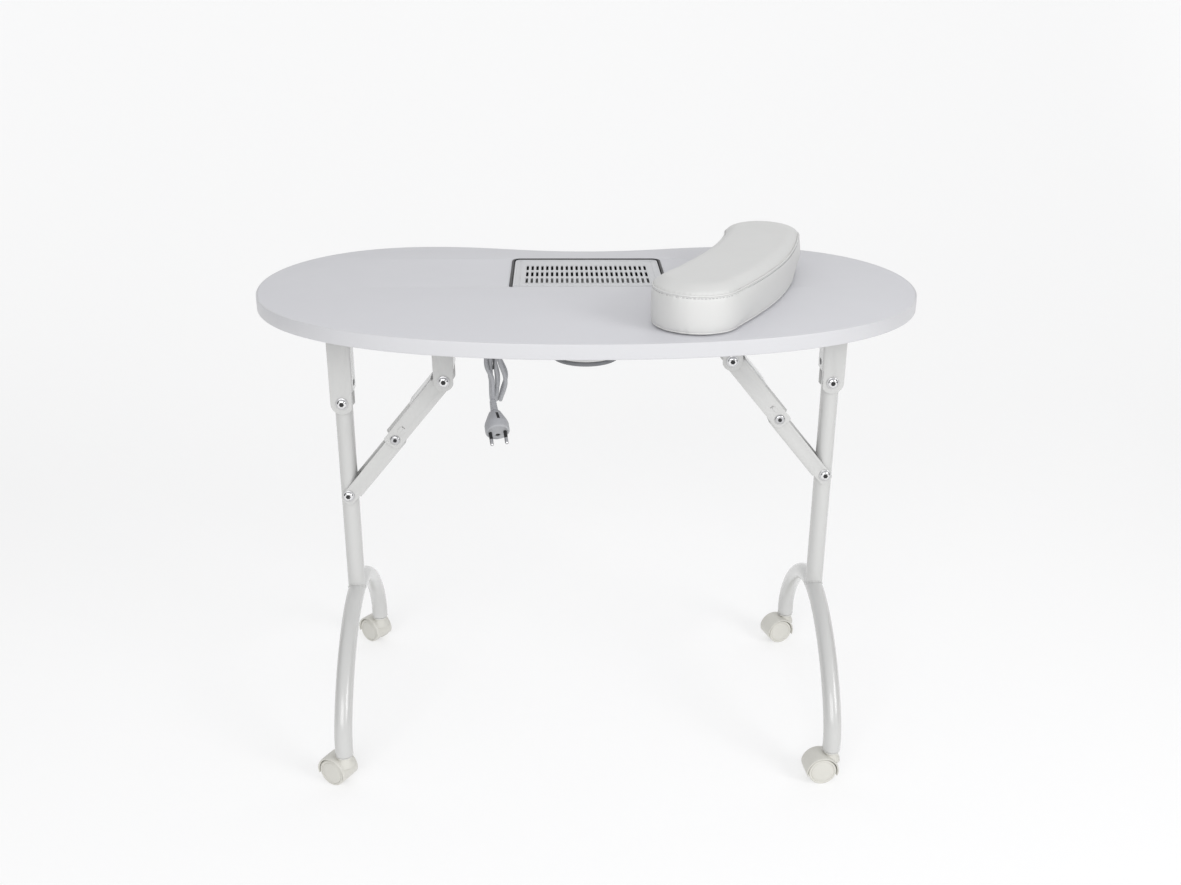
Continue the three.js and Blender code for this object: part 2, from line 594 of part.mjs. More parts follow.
// ---------------------------------------------------------------- casters
function hoodGeometry() {
  const cover = new THREE.Shape();
  cover.absarc(0, 0, HOOD_OUTER, HOOD_FROM, HOOD_TO);
  cover.absarc(0, 0, HOOD_INNER, HOOD_TO, HOOD_FROM, true);
  const rib = new THREE.Shape();
  rib.absarc(0, 0, HOOD_INNER + 1, 0, Math.PI);
  rib.lineTo(-7, -6);
  rib.lineTo(7, -6);
  const arch = upright(cover, -HOOD_HALF_WIDTH, HOOD_HALF_WIDTH, 5).translate(CASTER_TRAIL, 0, WHEEL_RADIUS);
  const middle = upright(rib, -HOOD_RIB_HALF, HOOD_RIB_HALF, 4).translate(CASTER_TRAIL, 0, WHEEL_RADIUS);
  const neck = rodZ(HOOD_NECK_RADIUS, WHEEL_RADIUS + 12, HOOD_TOP, 0, 0, 12);
  const stem = rodZ(STEM_RADIUS, WHEEL_RADIUS + 14, STEM_TOP, 0, 0, 10);
  const axleHole = rodY(AXLE_RADIUS + HOLE_PLAY, -30, 30, CASTER_TRAIL, WHEEL_RADIUS, 10);
  // keeps the neck out of the two wheel wells
  const wells = [[HOOD_RIB_HALF, 30], [-30, -HOOD_RIB_HALF]].map(([yMin, yMax]) => (
    rodY(HOOD_INNER - GAP, yMin, yMax, CASTER_TRAIL, WHEEL_RADIUS, 14)
  ));
  return combine([arch, middle, neck, stem], [axleHole, ...wells]);
}

function wheelGeometry() {
  const half = WHEEL_WIDTH / 2;
  const bore = AXLE_RADIUS + HOLE_PLAY;
  const profile = [[bore, -half], [WHEEL_RADIUS - WHEEL_EDGE, -half], [WHEEL_RADIUS, -half + WHEEL_EDGE],
    [WHEEL_RADIUS, half - WHEEL_EDGE], [WHEEL_RADIUS - WHEEL_EDGE, half], [bore, half], [bore, -half]];
  const points = profile.map(([radius, height]) => new THREE.Vector2(radius, height));
  return new THREE.LatheGeometry(points, 18);
}

function addCaster({ name, side, end, heading }) {
  const x = side * LEG_X;
  const y = LEG_Y + end * FOOT_REACH;
  const bore = STEM_RADIUS + HOLE_PLAY;
  const insert = TUBE_RADIUS - TUBE_WALL - 0.7;
  const socket = turned([[0, STEM_TOP + 1], [bore, STEM_TOP + 1], [bore, SOCKET_BOTTOM],
    [TUBE_RADIUS - 0.2, SOCKET_BOTTOM], [TUBE_RADIUS - 0.2, TUBE_END_Z - GAP],
    [insert, TUBE_END_Z - GAP], [insert - 0.6, STEM_TOP + 3], [0, STEM_TOP + 3]], 14);
  addPiece(`caster_socket_${name}`, socket, CASTER_PLASTIC).position.set(x, y, 0);

  const caster = new THREE.Group();
  caster.position.set(x, y, 0);
  caster.rotation.z = (heading * Math.PI) / 180;
  table.add(caster);
  addPiece(`caster_hood_${name}`, hoodGeometry(), CASTER_PLASTIC, caster);
  const axle = new THREE.CylinderGeometry(AXLE_RADIUS, AXLE_RADIUS, 2 * HOOD_HALF_WIDTH - 4, 10);
  addPiece(`caster_axle_${name}`, axle, STEEL, caster).position.set(CASTER_TRAIL, 0, WHEEL_RADIUS);
  [['wheel_a', -1], ['wheel_b', 1]].forEach(([wheel, place]) => {
    const mesh = addPiece(`${wheel}_${name}`, wheelGeometry(), CASTER_PLASTIC, caster);
    mesh.position.set(CASTER_TRAIL, place * WHEEL_OFFSET, WHEEL_RADIUS);
  });
}

// ---------------------------------------------------------------- mains lead
const LEAD_ROUTE = [
  [-102, -20.3, 624], [-102, -23.5, 624], [-103, -30.3, 624], [-105.8, -36.5, 624], [-110.3, -41.8, 624],
  [-114.8, -47, 624], [-117.6, -53, 624], [-118.5, -56.5, 624], [-118.6, -59.5, 624],
];
const TAIL_ROUTE = [
  [-131.8, -104.1, 585], [-128.6, -104.2, 579], [-127.2, -104.2, 573], [-127, -105.1, 564.5],
  [-127, -107.6, 558.5], [-127, -111.5, 553.3], [-127, -115.7, 550],
];
const PLUG = { x: -126.9, y: -116.5, z: 549.4, lean: -1, twist: -0.15 };
// radius and height of the plug's body, from its neck to the face with the pins
const PLUG_PROFILE = [
  [0, 0], [4, 0], [5.2, -18], [8.5, -20], [16.5, -39], [16.5, -50], [14.5, -52], [0, -52],
];
const PIN = { radius: 2.4, offset: 9.5, from: -51, to: -71 };

function cordAlong(route) {
  const curve = new THREE.CatmullRomCurve3(route.map((point) => new THREE.Vector3(...point)));
  const section = new THREE.Shape().absarc(0, 0, CORD_RADIUS, 0, 2 * Math.PI);
  const options = { extrudePath: curve, steps: 8, bevelEnabled: false, curveSegments: CORD_SIDES / 2 };
  return new THREE.ExtrudeGeometry(section, options);
}

function addCord() {
  const gland = turned([[0, GLAND.length], [GLAND.tip, GLAND.length], [GLAND.root, 3], [GLAND.flange, 3],
    [GLAND.flange, 0], [0, 0]], 16);
  const glandMesh = addPiece('cord_gland', gland, CORD_GREY);
  glandMesh.rotation.x = RIGHT_ANGLE;
  glandMesh.position.set(GLAND.x, VENT.yMin - 4 - GAP, GLAND.z);

  addPiece('cord_lead', cordAlong(LEAD_ROUTE), CORD_GREY);
  addPiece('cord_tail', cordAlong(TAIL_ROUTE), CORD_GREY);

  const halfDepth = HANK.foldRadius + CORD_RADIUS;
  const halfWidth = HANK.turns * CORD_RADIUS;
  const outline = new THREE.Shape();
  outline.absarc(0, HANK.top - halfDepth, halfDepth, 0, Math.PI);
  outline.absarc(0, HANK.bottom + halfDepth, halfDepth, Math.PI, 2 * Math.PI);
  const hank = upright(outline, -halfWidth, halfWidth, 8).rotateZ(RIGHT_ANGLE);
  addPiece('cord_hank', hank.translate(HANK.x, HANK.y, 0), CORD_GREY);

  const hankBox = { xMin: -halfWidth, xMax: halfWidth, yMin: -halfDepth, yMax: halfDepth };
  const inside = shrunk(hankBox, -GAP);
  const band = roundedRectangle(shrunk(inside, -TIE_THICKNESS), 2, 2);
  band.holes.push(roundedRectangle(inside, 1, 1));
  const front = -halfDepth - GAP;
  const strapTop = UNDERSIDE - GAP;
  const strap = box(-STRAP_HALF_WIDTH, STRAP_HALF_WIDTH, front - TIE_THICKNESS, front, TIE_Z, strapTop);
  const pad = box(-STRAP_PAD_HALF, STRAP_PAD_HALF, front - STRAP_PAD_HALF, front + STRAP_PAD_HALF,
    strapTop - STRAP_PAD_THICKNESS, strapTop);
  const tie = combine([slab(band, TIE_Z, TIE_Z + TIE_HEIGHT), strap, pad]);
  addPiece('cord_tie', tie.translate(HANK.x, HANK.y, 0), DARK_PLASTIC);

  const body = turned(PLUG_PROFILE, 16);
  const pins = [-PIN.offset, PIN.offset].map((x) => rodZ(PIN.radius, PIN.to, PIN.from, x, 0, 10));
  const plug = addPiece('plug', combine([body, ...pins]), CORD_GREY);
  plug.rotation.set(PLUG.lean, PLUG.twist, 0);
  plug.position.set(PLUG.x, PLUG.y, PLUG.z);
}

// ---------------------------------------------------------------- arm cushion
function addCushion() {
  const near = new THREE.Vector2(CUSHION_NEAR.x, CUSHION_NEAR.y);
  const far = new THREE.Vector2(CUSHION_FAR.x, CUSHION_FAR.y);
  const middle = new THREE.QuadraticBezierCurve(near, new THREE.Vector2(CUSHION_BEND.x, CUSHION_BEND.y), far);
  const stations = 10;
  const side = (sign) => Array.from({ length: stations + 1 }, (_, i) => {
    const t = i / stations;
    const half = THREE.MathUtils.lerp(CUSHION_NEAR.halfWidth, CUSHION_FAR.halfWidth, t);
    const along = middle.getTangent(t);
    return middle.getPoint(t).add(new THREE.Vector2(along.y, -along.x).multiplyScalar(sign * half));
  });
  const cap = (centre, radius, angle) => Array.from({ length: 9 }, (_, i) => {
    const turn = angle + ((i + 1) * Math.PI) / 10;
    return new THREE.Vector2(centre.x + radius * Math.cos(turn), centre.y + radius * Math.sin(turn));
  });
  const outAtFar = middle.getTangent(1).angle() - RIGHT_ANGLE;
  const outAtNear = middle.getTangent(0).angle() + RIGHT_ANGLE;
  const outline = new THREE.Shape([
    ...side(1),
    ...cap(far, CUSHION_FAR.halfWidth, outAtFar),
    ...side(-1).reverse(),
    ...cap(near, CUSHION_NEAR.halfWidth, outAtNear),
  ]);
  addPiece('arm_cushion', slab(outline, CUSHION_BOTTOM, CUSHION_BOTTOM + CUSHION_HEIGHT), LEATHERETTE);
}

addTop();
addVent();
addHousing();
addFan();
addSwitch();
[-1, 1].forEach(addLeg);
CASTERS.forEach(addCaster);
addCord();
addCushion();

export default table;
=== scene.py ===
"""Portable manicure table: the looks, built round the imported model. Metres, +Z up, the model's own frame."""
import math

import bmesh
import bpy
import numpy as np
from mathutils import Matrix, Vector


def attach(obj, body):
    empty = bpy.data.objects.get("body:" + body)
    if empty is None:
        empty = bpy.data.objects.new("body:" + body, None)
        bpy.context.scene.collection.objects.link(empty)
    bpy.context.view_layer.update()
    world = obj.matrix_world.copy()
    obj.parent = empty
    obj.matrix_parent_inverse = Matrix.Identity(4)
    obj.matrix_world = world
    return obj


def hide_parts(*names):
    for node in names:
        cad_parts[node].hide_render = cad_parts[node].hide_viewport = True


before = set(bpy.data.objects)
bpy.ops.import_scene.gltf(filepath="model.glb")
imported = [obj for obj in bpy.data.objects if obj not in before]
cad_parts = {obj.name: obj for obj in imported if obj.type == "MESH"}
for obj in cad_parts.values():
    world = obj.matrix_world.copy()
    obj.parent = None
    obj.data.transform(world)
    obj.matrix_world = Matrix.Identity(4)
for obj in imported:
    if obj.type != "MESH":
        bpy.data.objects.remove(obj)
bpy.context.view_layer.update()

# ---------------------------------------------------------------- camera
CAMERA_PLACE = (-0.0421, -1.6531, 1.1180)
CAMERA_DOWN = math.radians(22.223)
CAMERA_YAW = math.radians(1.616)
CAMERA_ROLL = math.radians(0.376)
CAMERA_LENS = 38.11


def make_camera():
    forward = Vector((math.sin(CAMERA_YAW) * math.cos(CAMERA_DOWN),
                      math.cos(CAMERA_YAW) * math.cos(CAMERA_DOWN), -math.sin(CAMERA_DOWN)))
    level = Vector((math.cos(CAMERA_YAW), -math.sin(CAMERA_YAW), 0))
    down = forward.cross(level)
    right = math.cos(CAMERA_ROLL) * level - math.sin(CAMERA_ROLL) * down
    low = math.sin(CAMERA_ROLL) * level + math.cos(CAMERA_ROLL) * down
    turn = Matrix((right, -low, -forward)).transposed()
    camera = bpy.data.objects.new("camera", bpy.data.cameras.new("camera"))
    camera.data.lens = CAMERA_LENS
    camera.data.sensor_width = 36
    camera.matrix_world = Matrix.Translation(CAMERA_PLACE) @ turn.to_4x4()
    bpy.context.scene.collection.objects.link(camera)
    bpy.context.scene.camera = camera


make_camera()


# ---------------------------------------------------------------- mesh helpers
def add_object(name, mesh):
    obj = bpy.data.objects.new(name, mesh)
    bpy.context.scene.collection.objects.link(obj)
    return obj


def mesh_of(name, points, faces):
    mesh = bpy.data.meshes.new(name)
    mesh.from_pydata([tuple(p) for p in points], [], faces)
    mesh.update()
    return add_object(name, mesh)


def points_of(obj):
    return np.array([v.co[:] for v in obj.data.vertices])


def set_points(obj, places):
    obj.data.vertices.foreach_set("co", places.ravel())
    obj.data.update()


def settle(obj):
    """Applies the object's modifiers and place to its mesh."""
    bpy.context.view_layer.update()
    shown = obj.evaluated_get(bpy.context.evaluated_depsgraph_get())
    mesh = bpy.data.meshes.new_from_object(shown)
    mesh.transform(obj.matrix_world)
    obj.modifiers.clear()
    old = obj.data
    obj.data = mesh
    obj.matrix_world = Matrix.Identity(4)
    mesh.name = obj.name
    if isinstance(old, bpy.types.Mesh):
        bpy.data.meshes.remove(old)
    return obj


def clean(obj, distance=2e-6):
    """Merges doubled points, drops slivers and turns the faces outwards."""
    work = bmesh.new()
    work.from_mesh(obj.data)
    bmesh.ops.remove_doubles(work, verts=work.verts, dist=distance)
    bmesh.ops.dissolve_degenerate(work, edges=work.edges, dist=1e-7)
    bmesh.ops.recalc_face_normals(work, faces=work.faces)
    work.to_mesh(obj.data)
    work.free()
    return obj


def shade(obj, sharp_from=40):
    obj.data.polygons.foreach_set("use_smooth", [True] * len(obj.data.polygons))
    obj.data.set_sharp_from_angle(angle=math.radians(sharp_from))
    return obj


def move(obj, matrix):
    obj.data.transform(matrix)
    if matrix.determinant() < 0:
        obj.data.flip_normals()
    return obj


def shift(obj, x=0, y=0, z=0):
    return move(obj, Matrix.Translation((x, y, z)))


def turn_about(axis, degrees):
    return Matrix.Rotation(math.radians(degrees), 4, axis)


MIRROR_Y = Matrix.Scale(-1, 4, (0, 1, 0))
Y_TO_Z = Matrix(((1, 0, 0, 0), (0, 0, -1, 0), (0, 1, 0, 0), (0, 0, 0, 1)))  # an outline's Y becomes Z


def bevel(obj, width, segments=2, angle=35):
    step = obj.modifiers.new("bevel", "BEVEL")
    step.width = width
    step.segments = segments
    step.limit_method = "ANGLE"
    step.angle_limit = math.radians(angle)
    return settle(obj)


def join(name, parts):
    """One mesh of several, each already in place."""
    work = bmesh.new()
    for piece in parts:
        work.from_mesh(piece.data)
        bpy.data.objects.remove(piece)
    mesh = bpy.data.meshes.new(name)
    work.to_mesh(mesh)
    work.free()
    return add_object(name, mesh)


def boolean(obj, other, how):
    step = obj.modifiers.new("cut", "BOOLEAN")
    step.operation = how
    step.solver = "EXACT"
    step.object = other
    settle(obj)
    bpy.data.objects.remove(other)
    return obj


def carve(obj, other):
    return boolean(obj, other, "DIFFERENCE")


def ring_faces(low, high, count):
    """The faces between two closed rings of points, which start at low and at high."""
    return [(low + i, low + (i + 1) % count, high + (i + 1) % count, high + i) for i in range(count)]


def spin(name, profile, segments=48, closed=False):
    """A profile of (radius, height) turned about Z. Ends on the axis become one point."""
    points = []
    rings = []
    for radius, height in profile:
        if radius < 1e-7:
            rings.append([len(points)])
            points.append((0, 0, height))
        else:
            rings.append(list(range(len(points), len(points) + segments)))
            for i in range(segments):
                a = 2 * math.pi * i / segments
                points.append((radius * math.cos(a), radius * math.sin(a), height))
    if closed:
        rings.append(rings[0])
    faces = []
    for low, high in zip(rings, rings[1:]):
        for i in range(segments):
            j = (i + 1) % segments
            if len(low) == 1:
                faces.append((low[0], high[j], high[i]))
            elif len(high) == 1:
                faces.append((low[i], low[j], high[0]))
            else:
                faces.append((low[i], low[j], high[j], high[i]))
    return clean(mesh_of(name, points, faces), 1e-8)


def frames_along(path):
    """A tangent and two steady cross directions at each point of a path."""
    path = [Vector(p) for p in path]
    tangents = []
    for i in range(len(path)):
        ahead = path[min(i + 1, len(path) - 1)]
        behind = path[max(i - 1, 0)]
        tangents.append((ahead - behind).normalized())
    start = Vector((0, 0, 1)) if abs(tangents[0].z) < 0.9 else Vector((1, 0, 0))
    across = tangents[0].cross(start).normalized()
    result = []
    for tangent in tangents:
        across = (across - tangent * across.dot(tangent)).normalized()
        result.append((tangent, across, tangent.cross(across)))
    return path, result


def tube(name, path, radius, sides=16):
    """A closed tube. radius is one number or one for each point."""
    path, turns = frames_along(path)
    radii = radius if hasattr(radius, "__len__") else [radius] * len(path)
    points = []
    for centre, (_, u, v), r in zip(path, turns, radii):
        for i in range(sides):
            a = 2 * math.pi * i / sides
            points.append(centre + r * (math.cos(a) * u + math.sin(a) * v))
    faces = []
    for k in range(len(path) - 1):
        faces += ring_faces(k * sides, (k + 1) * sides, sides)
    faces.append(tuple(reversed(range(sides))))
    faces.append(tuple(range((len(path) - 1) * sides, len(path) * sides)))
    return clean(mesh_of(name, points, faces), 1e-8)


def plate(name, outlines, thickness, rim=0.0004, rim_steps=2):
    """A flat plate in X and Y with rounded rims: the first outline is its edge and the rest are holes."""
    curve = bpy.data.curves.new(name, "CURVE")
    curve.dimensions = "2D"
    curve.fill_mode = "BOTH"
    curve.extrude = thickness / 2 - rim
    curve.bevel_depth = rim
    curve.bevel_resolution = rim_steps
    curve.offset = -rim
    for outline in outlines:
        spline = curve.splines.new("POLY")
        spline.points.add(len(outline) - 1)
        for point, (x, y) in zip(spline.points, outline):
            point.co = (x, y, 0, 1)
        spline.use_cyclic_u = True
    holder = add_object(name + "_curve", curve)
    mesh = bpy.data.meshes.new_from_object(holder.evaluated_get(bpy.context.evaluated_depsgraph_get()))
    bpy.data.objects.remove(holder)
    return clean(add_object(name, mesh))


def block(name, low, high):
    points = [(x, y, z) for x in (low[0], high[0]) for y in (low[1], high[1]) for z in (low[2], high[2])]
    faces = [(0, 1, 3, 2), (4, 6, 7, 5), (0, 4, 5, 1), (2, 3, 7, 6), (0, 2, 6, 4), (1, 5, 7, 3)]
    return clean(mesh_of(name, points, faces))


def prism(name, outline, low, high):
    """An outline in X and Y made thick between two heights."""
    n = len(outline)
    points = [(x, y, low) for x, y in outline] + [(x, y, high) for x, y in outline]
    faces = [tuple(reversed(range(n))), tuple(range(n, 2 * n)), *ring_faces(0, n, n)]
    return clean(mesh_of(name, points, faces))


def circle(radius, x=0, y=0, steps=32):
    return [(x + radius * math.cos(2 * math.pi * i / steps), y + radius * math.sin(2 * math.pi * i / steps))
            for i in range(steps)]


def arc(x, y, radius, start, end, steps=8):
    """Points on an arc between two angles in degrees."""
    turns = [math.radians(start + (end - start) * i / steps) for i in range(steps + 1)]
    return [(x + radius * math.cos(a), y + radius * math.sin(a)) for a in turns]


def rounded_rectangle(x_min, x_max, y_min, y_max, front, rear, steps=8):
    return (arc(x_max - front, y_min + front, front, -90, 0, steps)
            + arc(x_max - rear, y_max - rear, rear, 0, 90, steps)
            + arc(x_min + rear, y_max - rear, rear, 90, 180, steps)
            + arc(x_min + front, y_min + front, front, 180, 270, steps))


def pad_outline(half_x, half_y, radius):
    """A rounded rectangle about the origin."""
    return rounded_rectangle(-half_x, half_x, -half_y, half_y, radius, radius)


def slot_outline(x, y, width, length, steps=6):
    """A slot with round ends, long in Y."""
    r = width / 2
    half = length / 2 - r
    return arc(x, y + half, r, 0, 180, steps) + arc(x, y - half, r, 180, 360, steps)


def inset(outline, distance):
    """The closed outline moved inwards."""
    pts = [Vector(p) for p in outline]
    n = len(pts)
    area = sum(pts[i].x * pts[(i + 1) % n].y - pts[(i + 1) % n].x * pts[i].y for i in range(n))
    side = 1 if area > 0 else -1
    result = []
    for i in range(n):
        along = (pts[(i + 1) % n] - pts[i - 1]).normalized()
        result.append((pts[i].x - side * along.y * distance, pts[i].y + side * along.x * distance))
    return result


def bezier(p0, p1, p2, p3, steps):
    """Points of one cubic stretch, without its last one."""
    result = []
    for i in range(steps):
        t = i / steps
        s = 1 - t
        result.append(tuple(s**3 * a + 3 * s * s * t * b + 3 * s * t * t * c + t**3 * d
                            for a, b, c, d in zip(p0, p1, p2, p3)))
    return result


def softened(corners, steps=6):
    """A closed outline from corners of (x, y, radius), each rounded by its radius."""
    result = []
    count = len(corners)
    for i, (x, y, radius) in enumerate(corners):
        if radius == 0:
            result.append((x, y))
            continue
        here = Vector((x, y))
        back = (Vector(corners[i - 1][:2]) - here).normalized()
        on = (Vector(corners[(i + 1) % count][:2]) - here).normalized()
        half = back.angle(on) / 2
        centre = here + (back + on).normalized() * radius / math.sin(half)
        u = here + back * radius / math.tan(half) - centre
        v = here + on * radius / math.tan(half) - centre
        sweep = u.angle(v)
        for k in range(steps + 1):
            t = k / steps
            at = centre + (u * math.sin((1 - t) * sweep) + v * math.sin(t * sweep)) / math.sin(sweep)
            result.append((at.x, at.y))
    return result


def rod_y(name, radius, y_low, y_high, x, z, segments=32):
    """A plain rod along Y, for cutting holes."""
    rod = spin(name, [(0, y_low), (radius, y_low), (radius, y_high), (0, y_high)], segments)
    move(rod, turn_about("X", -90))
    return shift(rod, x=x, z=z)


def sweep_loop(name, outline, profile):
    """A ring round a closed outline: the profile is a closed loop of (distance inwards, height)."""
    points = []
    for inward, height in profile:
        points += [(x, y, height) for x, y in (inset(outline, inward) if inward else outline)]
    n = len(outline)
    faces = []
    for k in range(len(profile)):
        faces += ring_faces(k * n, (k + 1) % len(profile) * n, n)
    return clean(mesh_of(name, points, faces), 1e-7)


# ---------------------------------------------------------------- finishes
def add_node(tree, kind, **settings):
    """A new node with inputs set by name. An underscore in a name stands for a space."""
    node = tree.nodes.new("ShaderNode" + kind)
    for name, value in settings.items():
        node.inputs[name.replace("_", " ")].default_value = value
    return node


def add_noise(tree, scale, detail):
    """Noise in the object's own space."""
    node = add_node(tree, "TexNoise", Scale=scale, Detail=detail)
    tree.links.new(tree.nodes["Texture Coordinate"].outputs["Object"], node.inputs["Vector"])
    return node.outputs["Fac"]


def add_mix(tree, factor, first, second):
    """A blend from the first colour to the second."""
    node = tree.nodes.new("ShaderNodeMix")
    node.data_type = "RGBA"
    node.inputs["A"].default_value = (*first, 1)
    node.inputs["B"].default_value = (*second, 1)
    tree.links.new(factor, node.inputs["Factor"])
    return node


def finish(name, colour, roughness, metallic=0.0, mottle=0.02, mottle_size=0.05, grain_size=0.0008,
           grain_depth=0.00002, gloss_change=0.06, coat=0.0, sheen=0.0, edge_tint=0.0, edge_colour=None):
    """A node material: colour that drifts a little, uneven gloss, fine grain and a set colour that takes over
    along sharp convex edges.
    """
    made = bpy.data.materials.new(name)
    made.use_nodes = True
    tree = made.node_tree
    links = tree.links
    shader = tree.nodes["Principled BSDF"]
    for socket, value in (("Metallic", metallic), ("Coat Weight", coat), ("Coat Roughness", 0.15),
                          ("Sheen Weight", sheen)):
        shader.inputs[socket].default_value = value
    tree.nodes.new("ShaderNodeTexCoord")

    tint = add_mix(tree, add_noise(tree, 1 / mottle_size, 3), [c * (1 - mottle) for c in colour],
                   [min(1, c * (1 + mottle)) for c in colour])
    # along sharp convex edges the colour turns towards the edge colour; on the silver and the steel it turns
    # lighter
    if edge_tint:
        shape = tree.nodes.new("ShaderNodeNewGeometry")
        edge = add_node(tree, "MapRange", From_Min=0.53, From_Max=0.62, To_Max=edge_tint)
        links.new(shape.outputs["Pointiness"], edge.inputs["Value"])
        edge_tinted = add_mix(tree, edge.outputs["Result"], colour, edge_colour)
        links.new(tint.outputs["Result"], edge_tinted.inputs["A"])
        tint = edge_tinted
    links.new(tint.outputs["Result"], shader.inputs["Base Color"])

    gloss = add_node(tree, "MapRange", To_Min=max(0.05, roughness - gloss_change),
                     To_Max=min(1, roughness + gloss_change))
    links.new(add_noise(tree, 2.7 / mottle_size, 5), gloss.inputs["Value"])
    links.new(gloss.outputs["Result"], shader.inputs["Roughness"])

    bump = add_node(tree, "Bump", Distance=grain_depth, Strength=0.6)
    links.new(add_noise(tree, 1 / grain_size, 2), bump.inputs["Height"])
    links.new(bump.outputs["Normal"], shader.inputs["Normal"])
    return made


PEBBLE = 0.0011


def leather_finish(name, colour):
    """Smooth leatherette: fine pebbled grain from cells, on the plain finish."""
    made = finish(name, colour, 0.48, mottle=0.015, mottle_size=0.08, gloss_change=0.07, coat=0.04,
                  sheen=0.05)
    tree = made.node_tree
    links = tree.links
    cells = add_node(tree, "TexVoronoi", Scale=1 / PEBBLE)
    cells.feature = "SMOOTH_F1"
    links.new(tree.nodes["Texture Coordinate"].outputs["Object"], cells.inputs["Vector"])
    pebble = add_node(tree, "Bump", Distance=0.00005, Strength=0.5)
    links.new(cells.outputs["Distance"], pebble.inputs["Height"])
    links.new(tree.nodes["Bump"].outputs["Normal"], pebble.inputs["Normal"])
    links.new(pebble.outputs["Normal"], tree.nodes["Principled BSDF"].inputs["Normal"])
    return made


LAMINATE = finish("laminate", (0.62, 0.62, 0.648), 0.45, mottle=0.012, mottle_size=0.12, grain_size=0.0006)
BAND = finish("edge_band", (0.60, 0.60, 0.617), 0.38, mottle=0.01, mottle_size=0.05, grain_size=0.0005)
PAINT = finish("white_paint", (0.56, 0.56, 0.55), 0.24, mottle=0.006, mottle_size=0.2, grain_size=0.003,
               grain_depth=0.000003, gloss_change=0.02, coat=0.5)
WHITE_PLASTIC = finish("white_plastic", (0.70, 0.70, 0.69), 0.42, grain_size=0.0005)
DARK_PLASTIC = finish("dark_plastic", (0.018, 0.018, 0.02), 0.5, mottle=0.1, grain_size=0.0005)
# the silver panel turns lighter along its sharp edges
SILVER = finish("silver_panel", (0.58, 0.585, 0.60), 0.36, metallic=0.25, mottle=0.02, grain_size=0.0004,
                edge_tint=0.3, edge_colour=(0.75, 0.75, 0.77))
GREY_PLASTIC = finish("grey_plastic", (0.20, 0.205, 0.215), 0.45, grain_size=0.0005)
BLACK_PLASTIC = finish("black_plastic", (0.012, 0.012, 0.013), 0.42, mottle=0.1, grain_size=0.0005)
FILTER_MAT = finish("filter_mat", (0.09, 0.095, 0.10), 0.95, mottle=0.35, mottle_size=0.004,
                    grain_size=0.0007, grain_depth=0.0005)
CHROME = finish("chrome", (0.80, 0.80, 0.805), 0.12, metallic=1, mottle=0.03, mottle_size=0.008,
                gloss_change=0.04, grain_size=0.0004)
# the steel turns lighter along its sharp edges
STEEL = finish("steel", (0.56, 0.56, 0.57), 0.3, metallic=1, mottle=0.05, mottle_size=0.008, gloss_change=0.1,
               grain_size=0.0004, edge_tint=0.4, edge_colour=(0.75, 0.75, 0.75))
CASTER = finish("caster_plastic", (0.62, 0.61, 0.565), 0.4, mottle=0.02, mottle_size=0.02, grain_size=0.0004)
SOCKET = finish("socket_plastic", (0.68, 0.675, 0.65), 0.4, grain_size=0.0004)
PVC = finish("cord_pvc", (0.36, 0.365, 0.38), 0.45, mottle=0.04, mottle_size=0.02, grain_size=0.0006,
             sheen=0.05)
STRAP = finish("strap", (0.30, 0.30, 0.31), 0.85, mottle=0.12, mottle_size=0.003, grain_size=0.0006,
               grain_depth=0.0003, sheen=0.3)
LEATHER = leather_finish("leatherette", (0.63, 0.63, 0.62))


def part(obj, body, slot, look, *stands_for):
    """The piece gets its finish, rides on its body and stands for the named CAD nodes."""
    obj.data.materials.clear()
    obj.data.materials.append(look)
    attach(obj, body)
    if stands_for:
        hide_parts(*stands_for)
    return obj


# ---------------------------------------------------------------- mains lead
CORD = 0.0028
LEAD_ROUTE = [(-0.102, -0.0203, 0.624), (-0.102, -0.0235, 0.624), (-0.103, -0.0303, 0.624),
              (-0.1058, -0.0365, 0.624), (-0.1103, -0.0418, 0.624), (-0.1148, -0.047, 0.624),
              (-0.1176, -0.053, 0.624), (-0.1185, -0.0565, 0.624), (-0.1186, -0.0595, 0.624)]
TAIL_ROUTE = [(-0.1318, -0.1041, 0.585), (-0.1286, -0.1042, 0.579), (-0.1272, -0.1042, 0.573),
              (-0.127, -0.1051, 0.5645), (-0.127, -0.1076, 0.5585), (-0.127, -0.1115, 0.5533),
              (-0.127, -0.1157, 0.55)]
HANK_X = -0.127
HANK_Y = -0.080
HANK_TOP = 0.643
HANK_BOTTOM = 0.536
HANK_TURNS = 4
FOLD = 0.0172
STRAND = 2 * CORD
LEAD_Z = 0.624
BULGE = 0.95  # how far the outer strands bow out, as a share of their distance from the middle
BULGE_FROM = 0.604
LEAVES_AT = 0.607  # the last strand starts to come forward here
FORWARD = 0.007
SIDEWAYS = 0.0084


def ease(t):
    """0 to 1 with no slope at either end."""
    t = min(1, max(0, t))
    return 2 * t * t if t < 0.5 else 1 - 2 * (1 - t) ** 2


def fold_points(x, z, start, end, steps=12):
    """Part of a turn round X: 0 degrees points to +Y and 90 up."""
    turns = [math.radians(start + (end - start) * i / steps) for i in range(steps + 1)]
    return [(x, HANK_Y + FOLD * math.cos(a), z + FOLD * math.sin(a)) for a in turns]


